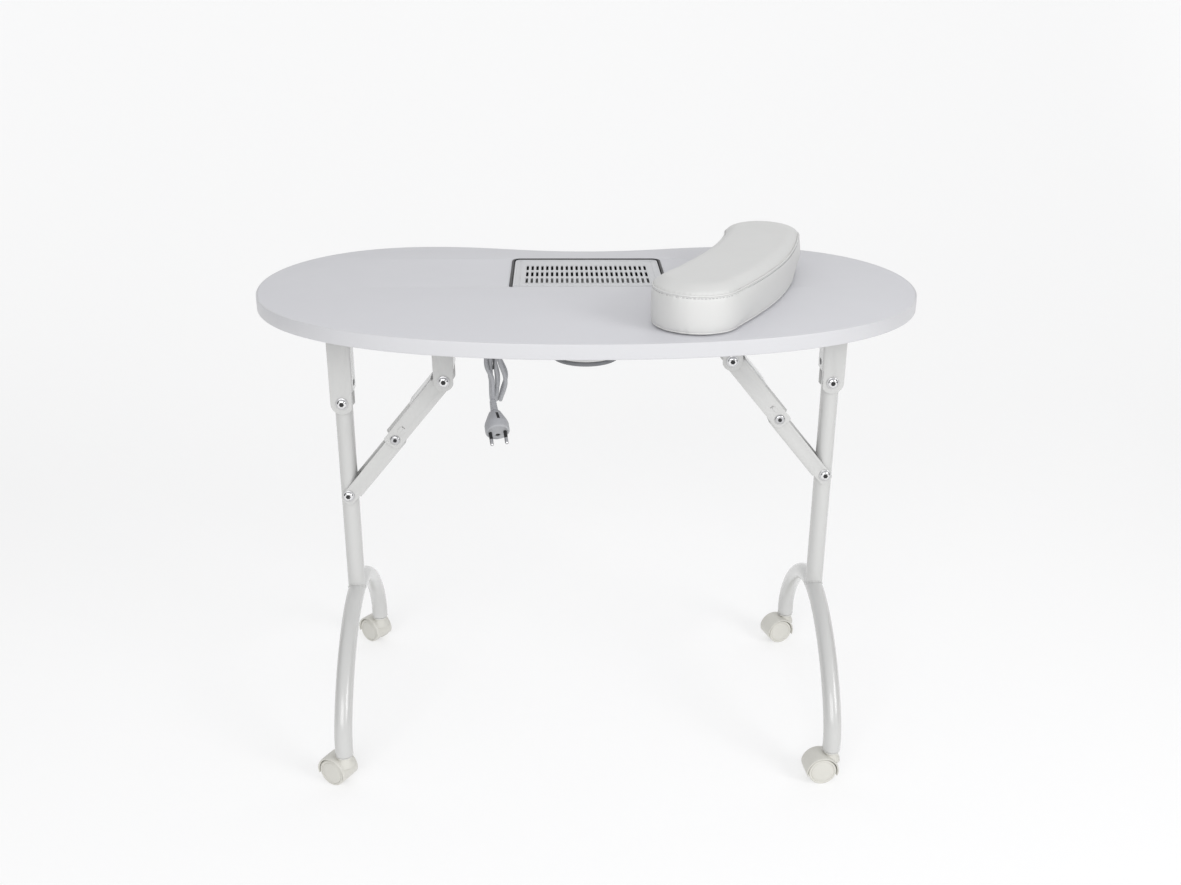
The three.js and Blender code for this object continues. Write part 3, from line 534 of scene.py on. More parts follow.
def cord_route():
    high = HANK_TOP - FOLD - CORD
    low = HANK_BOTTOM + FOLD + CORD
    front = HANK_Y - FOLD
    first = HANK_X + (HANK_TURNS - 1) / 2 * STRAND
    last = first - (HANK_TURNS - 1) * STRAND

    def bowed(x, y, z):
        """Strands stand apart between the tie and the folds, but for the ones behind the plug's strand."""
        if y < HANK_Y and x < HANK_X:
            return x
        share = min(1, max(0, (BULGE_FROM - z) / (BULGE_FROM - HANK_BOTTOM)))
        return x + BULGE * (x - HANK_X) * math.sin(math.pi * share) ** 2

    def run(x_from, x_to, y, z_from, z_to, steps=12):
        points = []
        for i in range(1, steps):
            z = z_from + (z_to - z_from) * i / steps
            points.append((bowed(x_from + (x_to - x_from) * ease(i / steps), y, z), y, z))
        return points

    route = LEAD_ROUTE + [(first, -0.0665, LEAD_Z), (first, -0.0735, LEAD_Z)]
    route += fold_points(first, LEAD_Z - FOLD, 90, 180, 6)
    for turn in range(HANK_TURNS - 1):
        x = first - turn * STRAND
        start = high if turn else LEAD_Z - FOLD
        route += run(x, x, front, start, low)
        route += [(bowed(x, y, z), y, z) for x, y, z in fold_points(x, low, 180, 360)]
        route += run(x, x - STRAND, HANK_Y + FOLD, low, high)
        route += fold_points(x - STRAND, high, 0, 180)
    for z in (0.617, 0.611, 0.607, 0.603, 0.599, 0.595, 0.590):
        come_forward = FORWARD * ease((LEAVES_AT - z) / 0.024)
        come_across = SIDEWAYS * ease((LEAVES_AT - 0.010 - z) / 0.026)
        route.append((last + come_across, front - come_forward, z))
    return route + TAIL_ROUTE


def smooth_route(points, per_stretch=3):
    """Extra points between the given ones, on a smooth line through them all."""
    pts = [Vector(p) for p in points]
    result = []
    for i in range(len(pts) - 1):
        p0 = pts[max(i - 1, 0)]
        p1 = pts[i]
        p2 = pts[i + 1]
        p3 = pts[min(i + 2, len(pts) - 1)]
        for k in range(per_stretch):
            t = k / per_stretch
            result.append(0.5 * (2 * p1 + (p2 - p0) * t + (2 * p0 - 5 * p1 + 4 * p2 - p3) * t * t
                                 + (3 * p1 - p0 - 3 * p2 + p3) * t**3))
    result.append(pts[-1])
    return result


route = smooth_route(cord_route(), 2)
lead = shade(tube("mains_lead", route, CORD, 16), 60)
part(lead, "top", "cord_pvc", PVC, "cord_lead", "cord_hank", "cord_tail")

PLUG_PLACE = (-0.1269, -0.1165, 0.5494)
PLUG_TURN = Matrix.Rotation(-1.0, 4, "X") @ Matrix.Rotation(-0.15, 4, "Y")
PLUG_FACE = -0.0508
PIN_APART = 0.0095
EARTH_HOLE_Y = 0.0066
EARTH_HOLE = 0.0032
SLOT_TURN = -78
SLOT_PLACE = (0.0132, 0, -0.0328)
CONE_SLOPE = (0.0060, 0.0147)  # how far the plug's cone goes out and down
NECK_RIBS = 5
NECK_PITCH = 0.0030


def plug_slot(name, length, width, low, high):
    """A block sunk in the plug's cone, along its slope. low and high are measured outwards."""
    made = block(name, (-length / 2, -width / 2, low), (length / 2, width / 2, high))
    out_by, down_by = CONE_SLOPE
    along = Vector((out_by, 0, -down_by)).normalized()
    out = Vector((down_by, 0, out_by)).normalized()
    turn = Matrix((along, (0, 1, 0), out)).transposed().to_4x4()
    return move(made, turn_about("Z", SLOT_TURN) @ Matrix.Translation(SLOT_PLACE) @ turn)


def make_plug():
    """A round two-pin plug with a ribbed neck, its own axis pointing down."""
    neck = [(0, 0), (0.0038, 0), (0.0042, -0.0008)]
    for i in range(NECK_RIBS):
        z = -0.0022 - i * NECK_PITCH
        r = 0.0044 + i * 0.00014
        neck += [(r, z), (r, z - 0.0017), (r - 0.0009, z - 0.0020), (r - 0.0009, z - 0.0027)]
    body = [(0.0052, -0.0178), (0.0060, -0.0192), (0.0081, -0.0208), (0.0109, -0.0272), (0.0135, -0.0332),
            (0.0151, -0.0372), (0.0158, -0.0402), (0.0158, -0.0492), (0.0154, -0.0508), (0.0146, -0.0517),
            (0.0134, -0.0520), (0.0131, -0.0510), (0.0, PLUG_FACE)]
    plug = spin("mains_plug", neck + body, 48)
    carve(plug, plug_slot("slot", 0.0150, 0.0036, -0.0022, 0.004))
    hole = spin("hole", [(0, -0.06), (EARTH_HOLE, -0.06), (EARTH_HOLE, -0.046), (0, -0.046)], 24)
    carve(plug, shift(hole, y=EARTH_HOLE_Y))
    bevel(plug, 0.0003, 2)
    pin_profile = [(0, -0.0620), (0.0024, -0.0620), (0.0024, -0.0686), (0.0021, -0.0702), (0.0012, -0.0710),
                   (0, -0.0710)]
    metal = join("plug_pins", [shift(spin("pin", pin_profile, 24), x=side * PIN_APART) for side in (-1, 1)])
    sleeve_profile = [(0, PLUG_FACE), (0.0023, PLUG_FACE), (0.0023, -0.0622), (0, -0.0622)]
    sleeves = [shift(spin("sleeve", sleeve_profile, 24), x=side * PIN_APART) for side in (-1, 1)]
    # black plates at the bottom of the earth hole and of the side slot: painted shade in those recesses
    inside = EARTH_HOLE - 0.0001
    earth_recess_shade = spin("earth_recess_shade", [(0, -0.0495), (inside, -0.0495), (inside, -0.0462), (0, -0.0462)], 24)
    slot_recess_shade = plug_slot("earth_recess_shade", 0.0147, 0.0034, -0.0020, -0.0006)
    # the dark pieces: black sleeves on the pins next to the face, and the painted shade in the hole and the
    # slot
    dark = join("plug_sleeves_and_recess_shade", [slot_recess_shade, shift(earth_recess_shade, y=EARTH_HOLE_Y), *sleeves])
    place = Matrix.Translation(PLUG_PLACE) @ PLUG_TURN
    for piece in (plug, metal, dark):
        shade(move(piece, place))
    part(plug, "top", "cord_pvc", PVC, "plug")
    part(metal, "top", "steel", STEEL)
    part(dark, "top", "black_plastic", BLACK_PLASTIC)
    return [plug, metal, dark]


plug_pieces = make_plug()


TIE_HEIGHTS = (0.611, 0.619)
TIE_THICKNESS = 0.0015
TIE_SLACK = 0.0003
TIE_END_ROUTE = [(-0.1235, -0.1035, 0.6150), (-0.1240, -0.1042, 0.6080), (-0.1250, -0.1036, 0.6000),
                 (-0.1258, -0.1024, 0.5930), (-0.1262, -0.1018, 0.5880)]
GLAND_PLACE = (-0.102, 0.0077, LEAD_Z)
GLAND_RINGS = 7


def make_tie():
    """A strap round the hank, with a front tail up to a pad under the board."""
    half_x = HANK_TURNS * CORD + TIE_SLACK
    half_y = FOLD + CORD + TIE_SLACK
    thick = TIE_THICKNESS
    low, high = TIE_HEIGHTS
    loop = rounded_rectangle(-half_x - thick, half_x + thick, -half_y - thick, half_y + thick, 0.003, 0.003)
    profile = [(0, low + 0.0004), (0, high - 0.0004), (0.0004, high), (thick - 0.0002, high),
               (thick, high - 0.0004), (thick, low + 0.0004), (thick - 0.0002, low), (0.0004, low)]
    band = sweep_loop("band", loop, profile)
    tail = block("tail", (-0.004, -half_y - thick, high - 0.001), (0.004, -half_y, 0.6477))
    pad = shift(plate("pad", [pad_outline(0.009, 0.009, 0.002)], 0.0024, 0.0005),
                y=-half_y, z=0.6465)
    buckle = shift(bevel(block("buckle", (-0.0065, -0.0012, -0.0055), (0.0065, 0.0012, 0.0055)), 0.0006),
                   y=-half_y - thick - 0.0011, z=0.615)
    return join("cord_strap", [band, bevel(tail, 0.0003), pad, buckle])


strap = shade(shift(make_tie(), x=HANK_X, y=HANK_Y))
part(strap, "top", "dark_plastic", STRAP, "cord_tie")
tie_end = shade(tube("tie_end", TIE_END_ROUTE, 0.0009, 10))
part(tie_end, "top", "dark_plastic", DARK_PLASTIC)


def make_gland():
    """The strain relief: a collar and a ringed sleeve that tapers to the lead."""
    profile = [(0, 0), (0.009, 0), (0.0093, 0.0006), (0.0093, 0.0024), (0.0088, 0.0030), (0.0066, 0.0032)]
    for i in range(GLAND_RINGS):
        z = 0.0045 + i * 0.0031
        r = 0.0063 - i * 0.00032
        profile += [(r, z), (r - 0.0001, z + 0.0018), (r - 0.0009, z + 0.0021), (r - 0.0010, z + 0.0028)]
    profile += [(0.0040, 0.0268), (0.0038, 0.0277), (0, 0.0277)]
    gland = spin("cord_gland_relief", profile, 40)
    move(gland, Matrix.Translation(GLAND_PLACE) @ turn_about("X", 90))
    part(shade(gland), "top", "cord_pvc", PVC, "cord_gland")


make_gland()


# ---------------------------------------------------------------- top
TOP = 0.668
UNDERSIDE = 0.648
HALF_WIDTH = 0.450
HALF_DEPTH = 0.247
REAR_DIP_Y = 0.217
LOBE_X = 0.232
WIDEST_Y = 0.030
BAND_THICKNESS = 0.002
BAND_ROUND = 0.0016
GAP = 0.0003
VENT = (-0.108, 0.110, 0.012, 0.168)
VENT_FRONT, VENT_REAR = 0.003, 0.012


def top_outline(steps=40):
    stretches = [
        ((0, REAR_DIP_Y), (0.099, REAR_DIP_Y), (0.138, HALF_DEPTH), (LOBE_X, HALF_DEPTH)),
        ((LOBE_X, HALF_DEPTH), (0.366, HALF_DEPTH), (HALF_WIDTH, 0.146), (HALF_WIDTH, WIDEST_Y)),
        ((HALF_WIDTH, WIDEST_Y), (HALF_WIDTH, -0.135), (0.300, -HALF_DEPTH), (0, -HALF_DEPTH)),
    ]
    right = [point for stretch in stretches for point in bezier(*stretch, steps)]
    return right + [(0, -HALF_DEPTH)] + [(-x, y) for x, y in reversed(right[1:])]


def vent_loop(by, front=VENT_FRONT, rear=VENT_REAR):
    """The vent's cutout made smaller by a distance on every side."""
    x_min, x_max, y_min, y_max = VENT
    return rounded_rectangle(x_min + by, x_max - by, y_min + by, y_max - by, front, rear)


def make_top():
    """The board and the band round its edge."""
    outline = top_outline()
    edge = inset(outline, BAND_THICKNESS + GAP / 3)
    board = plate("tabletop_board", [edge, vent_loop(0)], TOP - UNDERSIDE, 0.0003)
    part(shade(shift(board, z=(TOP + UNDERSIDE) / 2)), "top", "laminate", LAMINATE, "tabletop")
    turns = [math.radians(15 * i) for i in range(7)]
    curve = [(BAND_ROUND * (1 - math.sin(a)), BAND_ROUND * (1 - math.cos(a))) for a in turns]
    profile = [(BAND_THICKNESS, UNDERSIDE), *[(i, UNDERSIDE + h) for i, h in curve],
               *[(i, TOP - h) for i, h in reversed(curve)], (BAND_THICKNESS, TOP)]
    band = sweep_loop("top_edge_band", outline, profile)
    part(shade(band, 50), "top", "edge_band", BAND, "edge_band")


make_top()


# ---------------------------------------------------------------- dust collector
FRAME_WALL = 0.003
FRAME_BOTTOM = 0.643
FRAME_TOP = TOP + 0.0012
GRILLE = 0.0024
LEDGE = 0.003
SUNK = 0.0006  # the panel inside its rim lies this far below the board
SLOT_ROWS, SLOT_COLUMNS = 3, 25
SLOT_FIRST = (-0.0845, 0.0485)
SLOT_PITCH = (0.00705, 0.035)
SLOT_WIDTH, SLOT_LENGTH = 0.0034, 0.027
BEAD_IN = 0.0085


def make_vent():
    """The dark rim let into the board, with a ledge, and the slotted panel that rests on it."""
    ledge_top = TOP - GRILLE - GAP
    wall_loops = [vent_loop(GAP), vent_loop(GAP + FRAME_WALL, 0.001, 0.009)]
    wall = plate("wall", wall_loops, FRAME_TOP - FRAME_BOTTOM, 0.0004)
    shift(wall, z=(FRAME_TOP + FRAME_BOTTOM) / 2)
    x_min, x_max, y_min, _ = VENT
    cut = block("cut", (x_min + 0.004, y_min - 0.001, ledge_top),
                (x_max - 0.004, y_min + 0.004, FRAME_TOP + 0.001))
    carve(wall, cut)
    ledge_loops = [vent_loop(0.0013, 0.002, 0.011), vent_loop(GAP + FRAME_WALL + 0.008, 0.001, 0.004)]
    ledge = plate("ledge", ledge_loops, LEDGE, 0.0003)
    shift(ledge, z=ledge_top - LEDGE / 2)
    part(shade(join("vent_surround", [wall, ledge])), "top", "dark_plastic", DARK_PLASTIC, "vent_frame")

    seat = (x_min + 0.0045, x_max - 0.0045, y_min + 0.001, VENT[3] - 0.0043)
    edge = rounded_rectangle(*seat, 0.001, 0.008)
    slots = [slot_outline(SLOT_FIRST[0] + column * SLOT_PITCH[0], SLOT_FIRST[1] + row * SLOT_PITCH[1],
                          SLOT_WIDTH, SLOT_LENGTH)
             for row in range(SLOT_ROWS) for column in range(SLOT_COLUMNS)]
    panel = plate("panel", [edge, *slots], GRILLE - SUNK, 0.0003, 1)
    shift(panel, z=TOP - (GRILLE + SUNK) / 2)
    # a pressed rim round the panel and a low bead inside it
    rim = sweep_loop("rim", edge, [(0.0004, TOP - 0.0008), (0.0004, TOP - 0.0001), (0.0010, TOP + 0.0002),
                                   (0.0018, TOP + 0.0002), (0.0024, TOP - 0.0001), (0.0028, TOP - 0.0008)])
    bead = sweep_loop("bead", inset(edge, BEAD_IN), [(0, TOP - 0.0009), (0.0004, TOP - 0.0001),
                                                     (0.0012, TOP - 0.0001), (0.0016, TOP - 0.0009)])
    part(shade(join("vent_panel", [panel, rim, bead])), "grille", "silver_panel", SILVER, "vent_grille")


make_vent()

HOUSING_FLOOR = 0.600
FAN = Vector((-0.002, 0.060, 0))
FAN_BLADES = 7
BLADE_Z = 0.575
GUARD_RINGS = (0.020, 0.026, 0.032, 0.0365)


SCREW = 0.0035
BOX_MARGIN = 0.004  # the dust box reaches this far past the vent on every side
BOX = (VENT[0] - BOX_MARGIN, VENT[1] + BOX_MARGIN, VENT[2] - BOX_MARGIN, VENT[3] + BOX_MARGIN)
BOX_TOP = UNDERSIDE - GAP
BOX_FLANGE = 0.009
BOX_FLANGE_THICKNESS = 0.002
SCREW_OUT = 0.0048
MAT = (-0.090, 0.092, 0.014, 0.150)
MAT_THICKNESS = 0.0078
MAT_Z = 0.6063
MAT_WAVE = 0.0022
MAT_WAVE_HEIGHT = 0.0004


def screw(x, y, z):
    """A pan-head screw with a crossed recess, its head under a plate at height z."""
    dome = [(0, 0.0024), (SCREW * 0.45, 0.0023), (SCREW * 0.8, 0.0018), (SCREW, 0.0008), (SCREW, 0), (0, 0)]
    head = spin("screw", dome, 28)
    for quarter in (0, 90):
        slot = block("slot", (-SCREW * 0.62, -0.00045, 0.0011), (SCREW * 0.62, 0.00045, 0.004))
        carve(head, move(slot, turn_about("Z", quarter + 20)))
    return shift(move(head, turn_about("X", 180)), x, y, z)


def cut_finely(obj, size):
    """Cuts long edges until the mesh has points about every size."""
    work = bmesh.new()
    work.from_mesh(obj.data)
    for axis in (0, 1):
        spread = [v.co[axis] for v in work.verts]
        normal = Vector((1, 0, 0)) if axis == 0 else Vector((0, 1, 0))
        for at in np.arange(min(spread) + size, max(spread) - size / 2, size):
            everything = work.verts[:] + work.edges[:] + work.faces[:]
            bmesh.ops.bisect_plane(work, geom=everything, plane_co=normal * at, plane_no=normal)
    work.to_mesh(obj.data)
    work.free()


def make_housing():
    """The shallow box under the board, with its ribs, its flange and a short round duct for the fan."""
    x_min, x_max, y_min, y_max = BOX
    top = BOX_TOP
    outer = rounded_rectangle(x_min, x_max, y_min, y_max, 0.006, 0.012)
    shell = plate("shell", [outer], top - HOUSING_FLOOR, 0.0015, 3)
    shift(shell, z=(top + HOUSING_FLOOR) / 2)
    hollow = prism("hollow", inset(outer, 0.002), HOUSING_FLOOR + 0.002, top + 0.001)
    carve(shell, hollow)
    duct = [(0.046, HOUSING_FLOOR + 0.001), (0.046, 0.5625), (0.0478, 0.5615), (0.0478, 0.5592),
            (0.0470, 0.5583), (0.044, 0.5583), (0.044, HOUSING_FLOOR + 0.001)]
    collar = [(0.0455, HOUSING_FLOOR + 0.0008), (0.050, HOUSING_FLOOR + 0.0008),
              (0.0495, HOUSING_FLOOR - 0.002), (0.047, HOUSING_FLOOR - 0.0035),
              (0.0455, HOUSING_FLOOR - 0.0035)]
    bore = spin("bore", [(0, 0.548), (0.044, 0.548), (0.044, 0.618), (0, 0.618)], 64)
    carve(shell, move(bore, Matrix.Translation(FAN)))
    rings = [move(spin("ring", profile, 64, True), Matrix.Translation(FAN)) for profile in (duct, collar)]
    brim = rounded_rectangle(x_min - BOX_FLANGE, x_max + BOX_FLANGE, y_min - BOX_FLANGE, y_max + BOX_FLANGE,
                             0.008, 0.014)
    flange = plate("flange", [brim, inset(outer, 0.0005)], BOX_FLANGE_THICKNESS, 0.0004)
    shift(flange, z=top - 0.001)
    foot, head = HOUSING_FLOOR + 0.004, top - 0.001
    ribs = []
    for x in np.linspace(x_min + 0.03, x_max - 0.03, 5):
        for y, facing in ((y_min, -1), (y_max, 1)):
            low, high = sorted((y - facing * 0.0005, y + facing * 0.0018))
            ribs.append(block("rib", (x - 0.001, low, foot), (x + 0.001, high, head)))
    for y in np.linspace(y_min + 0.03, y_max - 0.03, 4):
        for x, facing in ((x_min, -1), (x_max, 1)):
            low, high = sorted((x - facing * 0.0005, x + facing * 0.0018))
            ribs.append(block("rib", (low, y - 0.001, foot), (high, y + 0.001, head)))
    ribs = [bevel(rib, 0.0004, 1) for rib in ribs]
    housing = join("dust_box", [shell, *rings, flange, *ribs])
    part(shade(housing), "top", "white_plastic", WHITE_PLASTIC, "fan_housing")


def make_box_screws():
    x_min, x_max, y_min, y_max = BOX
    z = BOX_TOP - 0.0022
    screws = [screw(x, y, z) for x in (x_min - SCREW_OUT, x_max + SCREW_OUT) for y in (0.03, 0.09, 0.15)]
    screws += [screw(x, y_max + SCREW_OUT, z) for x in (-0.07, 0.07)]
    screws += [screw(x, y_min - SCREW_OUT, z) for x in (-0.06, 0.07)]
    part(shade(join("dust_box_screws", screws)), "top", "steel", STEEL)


def make_filter():
    """The mat on the floor of the dust box, with a waffled upper face."""
    mat = plate("filter", [rounded_rectangle(*MAT, 0.004, 0.004)], MAT_THICKNESS, 0.001, 3)
    shift(mat, z=MAT_Z)
    cut_finely(mat, 0.004)
    places = points_of(mat)
    upper = places[:, 2] > 0.608
    waffle = np.sin(places[upper, 0] / MAT_WAVE) * np.sin(places[upper, 1] / MAT_WAVE)
    places[upper, 2] += MAT_WAVE_HEIGHT * waffle
    set_points(mat, places)
    part(shade(mat), "top", "filter_mat", FILTER_MAT, "dust_filter")


make_housing()
make_box_screws()
make_filter()


def make_blade():
    """One curved fan blade along +X, pitched about its length and thin at the tip."""
    stations = np.linspace(0.0155, 0.0415, 9)
    across = np.linspace(-1, 1, 9)
    points = []
    for face in (1, -1):
        for x in stations:
            share = (x - stations[0]) / (stations[-1] - stations[0])
            half = 0.0095 - 0.0012 * share
            pitch = 0.72 - 0.22 * share
            for v in across:
                thick = face * 0.0008 * math.sqrt(max(0.0, 1 - v * v)) * (1 - 0.35 * share)
                camber = 0.0012 * (1 - v * v)
                y, z = v * half, camber + thick
                c, s = math.cos(pitch), math.sin(pitch)
                points.append((x, y * c - z * s, y * s + z * c))
    rows, columns = len(stations), len(across)
    faces = []
    for face in range(2):
        base = face * rows * columns
        for i in range(rows - 1):
            for j in range(columns - 1):
                a = base + i * columns + j
                faces.append((a, a + 1, a + columns + 1, a + columns))
    for i, flip in ((0, 1), (rows - 1, -1)):
        for j in range(columns - 1):
            a = i * columns + j
            faces.append((a, a + 1, a + 1 + rows * columns, a + rows * columns)[::flip])
    return clean(mesh_of("blade", points, faces), 1e-7)


def make_fan():
    """The rotor, its motor, and the round guard below them."""
    hub = spin("hub", [(0, 0.588), (0.0155, 0.588), (0.0166, 0.5875), (0.017, 0.5865), (0.017, 0.563),
                       (0.0152, 0.563), (0.0152, 0.5855), (0.0016, 0.5855), (0.0016, 0.568), (0, 0.568)], 48)
    blades = []
    for i in range(FAN_BLADES):
        place = Matrix.Translation((0, 0, BLADE_Z)) @ turn_about("Z", i * 360 / FAN_BLADES)
        blades.append(move(make_blade(), place))
    rotor = join("fan_wheel", [hub, *blades])
    move(rotor, Matrix.Translation(FAN))
    part(shade(rotor), "fan", "black_plastic", BLACK_PLASTIC, "fan_rotor")

    motor_profile = [(0, 0.5553), (0.0135, 0.5553), (0.014, 0.5558), (0.014, 0.5709), (0.0136, 0.5712),
                     (0.0136, 0.5722), (0.014, 0.5725), (0.014, 0.5792), (0.0132, 0.580), (0.0022, 0.580),
                     (0.0022, 0.5665), (0.0019, 0.566), (0, 0.566)]
    motor = spin("fan_drive", motor_profile, 48)
    part(shade(move(motor, Matrix.Translation(FAN))), "top", "black_plastic", BLACK_PLASTIC, "fan_motor")

    rim = spin("rim", [(0.041, 0.5528), (0.0425, 0.552), (0.0472, 0.5522), (0.0486, 0.5530), (0.049, 0.5542),
                       (0.049, 0.5568), (0.0482, 0.5578), (0.0418, 0.5578), (0.041, 0.557)], 72, True)
    rings = []
    for radius in GUARD_RINGS:
        loop = [(radius * math.cos(a), radius * math.sin(a), 0.5535) for a in np.linspace(0, 2 * math.pi, 65)]
        rings.append(tube("ring", loop, 0.0011, 10))
    spokes = [move(bevel(block("spoke", (-0.042, -0.0015, 0.5523), (0.042, 0.0015, 0.5546)), 0.0005),
                   turn_about("Z", 45 * i)) for i in range(4)]
    cap_profile = [(0, 0.5516), (0.009, 0.5518), (0.0142, 0.5522), (0.015, 0.5530), (0.015, 0.5548),
                   (0, 0.555)]
    cap = spin("cap", cap_profile, 48)
    guard = join("fan_grid", [rim, *rings, *spokes, cap])
    part(shade(move(guard, Matrix.Translation(FAN))), "top", "grey_plastic", GREY_PLASTIC, "fan_guard")


make_fan()


# ---------------------------------------------------------------- switch
SWITCH = (0.130, -0.150)
SWITCH_BOTTOM = 0.6297
ROCKER_TILT = 0.21


def make_switch():
    """A rocker switch that hangs from the board: its case, and the key with its two marks."""
    x, y = SWITCH
    top, bottom = UNDERSIDE - GAP, SWITCH_BOTTOM
    body = shift(plate("body", [pad_outline(0.015, 0.010, 0.002)],
                       top - bottom, 0.0008, 3), x, y, (top + bottom) / 2)
    recess = prism("recess", rounded_rectangle(x - 0.011, x + 0.011, y - 0.0065, y + 0.0065, 0.0008, 0.0008),
                   bottom - 0.001, bottom + 0.009)
    carve(body, recess)
    bezel = shift(plate("bezel", [pad_outline(0.0132, 0.0087, 0.0016),
                                  pad_outline(0.011, 0.0065, 0.0008)],
                        0.0012, 0.0003), x, y, bottom - 0.0003)
    part(shade(join("switch_case", [body, bezel])), "top", "black_plastic", BLACK_PLASTIC, "switch_body")

    dish = [(-0.0095, -0.0024), (-0.0068, -0.0013), (-0.0035, -0.0006), (0, -0.0004), (0.0035, -0.0006),
            (0.0068, -0.0013), (0.0095, -0.0024), (0.0085, 0.002), (0, 0.0034), (-0.0085, 0.002)]
    key = prism("key", dish, -0.0059, 0.0059)
    move(key, turn_about("X", 90))
    bevel(key, 0.0004, 2, 25)
    dot = spin("dot", [(0, 0.0006), (0.0009, 0.0006), (0.0012, 0.0003), (0.0012, -0.0003), (0, -0.0003)], 20)
    shift(dot, x=-0.0055, z=-0.0016)
    bar = bevel(block("bar", (-0.0016, -0.0003, -0.0005), (0.0016, 0.0003, 0.0005)), 0.0002, 1)
    shift(bar, x=0.0055, z=-0.0014)
    place = Matrix.Translation((x, y, bottom + 0.0026)) @ Matrix.Rotation(ROCKER_TILT, 4, "Y")
    part(shade(move(join("switch_key", [key, dot, bar]), place)), "rocker", "black_plastic", BLACK_PLASTIC,
         "switch_rocker")


make_switch()


# ---------------------------------------------------------------- legs' and braces' places
LEG_X = 0.343
LEG_Y = 0.005
BRACE_X = 0.200
LEG_PIVOT = {"right": 0.535, "left": 0.506}
SIDE = {"right": 1, "left": -1}
BRACE_UP = 0.034
FOOT_DOWN = 0.141
PIVOT_HOLE = 0.0043
LEG_INNER = 0.0135  # half the gap between the flanges round the leg
UPPER_INNER = 0.016
BRACKET_INNER = 0.0185
LEG_SPOT = (0.027, 0.0130, 0.0090)  # how high up the web its slot lies, its length and width
STEEL_PLATE = 0.002


# ---------------------------------------------------------------- fasteners
NUT_CORNER = 0.007


def bolt(name, seat, x, z, body, node):
    """A bolt along Y: a washer and a domed socket head at the front, a washer and a hex nut at the rear."""
    shank = spin("shank", [(0, -seat - 0.0004), (0.0039, -seat - 0.0004), (0.0039, seat + 0.0042),
                           (0.0034, seat + 0.0048), (0, seat + 0.0048)], 32)
    washer = [(0.0041, 0), (0.0082, 0), (0.0085, 0.0002), (0.0085, 0.0007), (0.0082, 0.0009),
              (0.0041, 0.0009)]
    rear_washer = shift(spin("washer", washer, 40, True), z=seat)
    front_washer = shift(spin("washer", washer, 40, True), z=-seat - 0.0009)
    head = spin("head", [(0, -seat - 0.0036), (0.0034, -seat - 0.0036), (0.0050, -seat - 0.0033),
                         (0.0062, -seat - 0.0025), (0.0068, -seat - 0.0014), (0.0068, -seat - 0.0009),
                         (0, -seat - 0.0009)], 40)
    carve(head, prism("socket", circle(0.0036, steps=6), -seat - 0.005, -seat - 0.0012))
    # a black plate at the bottom of the hex socket: painted shade in the recess
    floor = prism("floor", circle(0.0035, steps=6), -seat - 0.0024, -seat - 0.0010)
    nut = bevel(prism("nut", circle(NUT_CORNER, steps=6), seat + 0.0009, seat + 0.0039), 0.0005, 2, 20)
    fittings = join(name, [shank, rear_washer, front_washer, nut])
    head.name = name + "_head"
    floor.name = name + "_socket"
    for piece in (fittings, head, floor):
        shade(shift(move(piece, turn_about("X", -90)), x, LEG_Y, z))
    part(fittings, body, "steel", STEEL, node)
    part(head, body, "steel", CHROME)
    # the black plate is painted shade in the hex socket
    part(floor, body, "black_plastic", BLACK_PLASTIC)


def rivet(face, inner, x, z):
    """A domed knee rivet in the plate on one face, front (-1) or rear (1), and a black plug in its hollow
    middle, which is painted shade.
    """
    seat = inner + 0.0023
    dome = [(0, inner), (0.0039, inner), (0.0039, seat), (0.0068, seat), (0.0070, seat + 0.0004),
            (0.0066, seat + 0.0013), (0.0056, seat + 0.0020), (0.0040, seat + 0.0024),
            (0.0029, seat + 0.0022), (0.0027, seat + 0.0006), (0, seat + 0.0005)]
    # the core is a black plug in the dome's hollow: painted shade in the hole
    core = [(0, seat + 0.0003), (0.0026, seat + 0.0003), (0.0024, seat + 0.0012), (0, seat + 0.0014)]
    made = [move(spin("rivet", profile, 40), turn_about("X", -90)) for profile in (dome, core)]
    for piece in made:
        if face < 0:
            move(piece, MIRROR_Y)
        shade(shift(piece, x, LEG_Y, z))
    return made


# ---------------------------------------------------------------- pressed steel
def channel(name, silhouette, inner, back, web_from, web_to, holes, corner=0.0032):
    """A pressed U along X: two flanges with a gap in Y between them, joined by a web on the +Z side."""
    outer = inner + STEEL_PLATE
    xs = [x for x, _ in silhouette]
    open_edge = min(z for _, z in silhouette) - 0.01
    inside = corner - 0.0018
    section = (softened([(-outer, open_edge, 0), (-outer, back, corner), (outer, back, corner),
                         (outer, open_edge, 0)])
               + softened([(inner, open_edge, 0), (inner, back - STEEL_PLATE, inside),
                           (-inner, back - STEEL_PLATE, inside), (-inner, open_edge, 0)]))
    bar = prism(name, section, min(xs) - 0.005, max(xs) + 0.005)
    # the section is drawn in Y and Z and runs along X
    move(bar, Matrix(((0, 0, 1, 0), (1, 0, 0, 0), (0, 1, 0, 0), (0, 0, 0, 1))))
    side = prism("side", silhouette, -outer - 0.001, outer + 0.001)
    move(side, Y_TO_Z)
    boolean(bar, side, "INTERSECT")
    gap = inner - 0.0004
    low = back - 0.0085
    for start, end in ((min(xs) - 0.01, web_from), (web_to, max(xs) + 0.01)):
        if end > start:
            notch = block("notch", (start, -gap, low), (end, gap, back + 0.01))
            carve(bar, notch)
            lip = block("lip", (start, -outer - 0.001, back - 0.0026), (end, outer + 0.001, back + 0.01))
            carve(bar, lip)
    for x, radius in holes:
        carve(bar, rod_y("hole", radius, -outer - 0.005, outer + 0.005, x, 0, 28))
    return bevel(clean(bar), 0.00035, 2, 40)


def dimple(x, z, outer, length=0.010, width=0.005):
    """A pressed boss on the front flange's face and its twin on the rear."""
    parts = []
    for face in (-1, 1):
        boss = plate("boss", [slot_outline(0, 0, width, length)], 0.0016, 0.0007, 3)
        move(boss, turn_about("X", 90) @ turn_about("Z", 90))
        parts.append(shift(boss, x, face * (outer + 0.0001), z))
    return parts


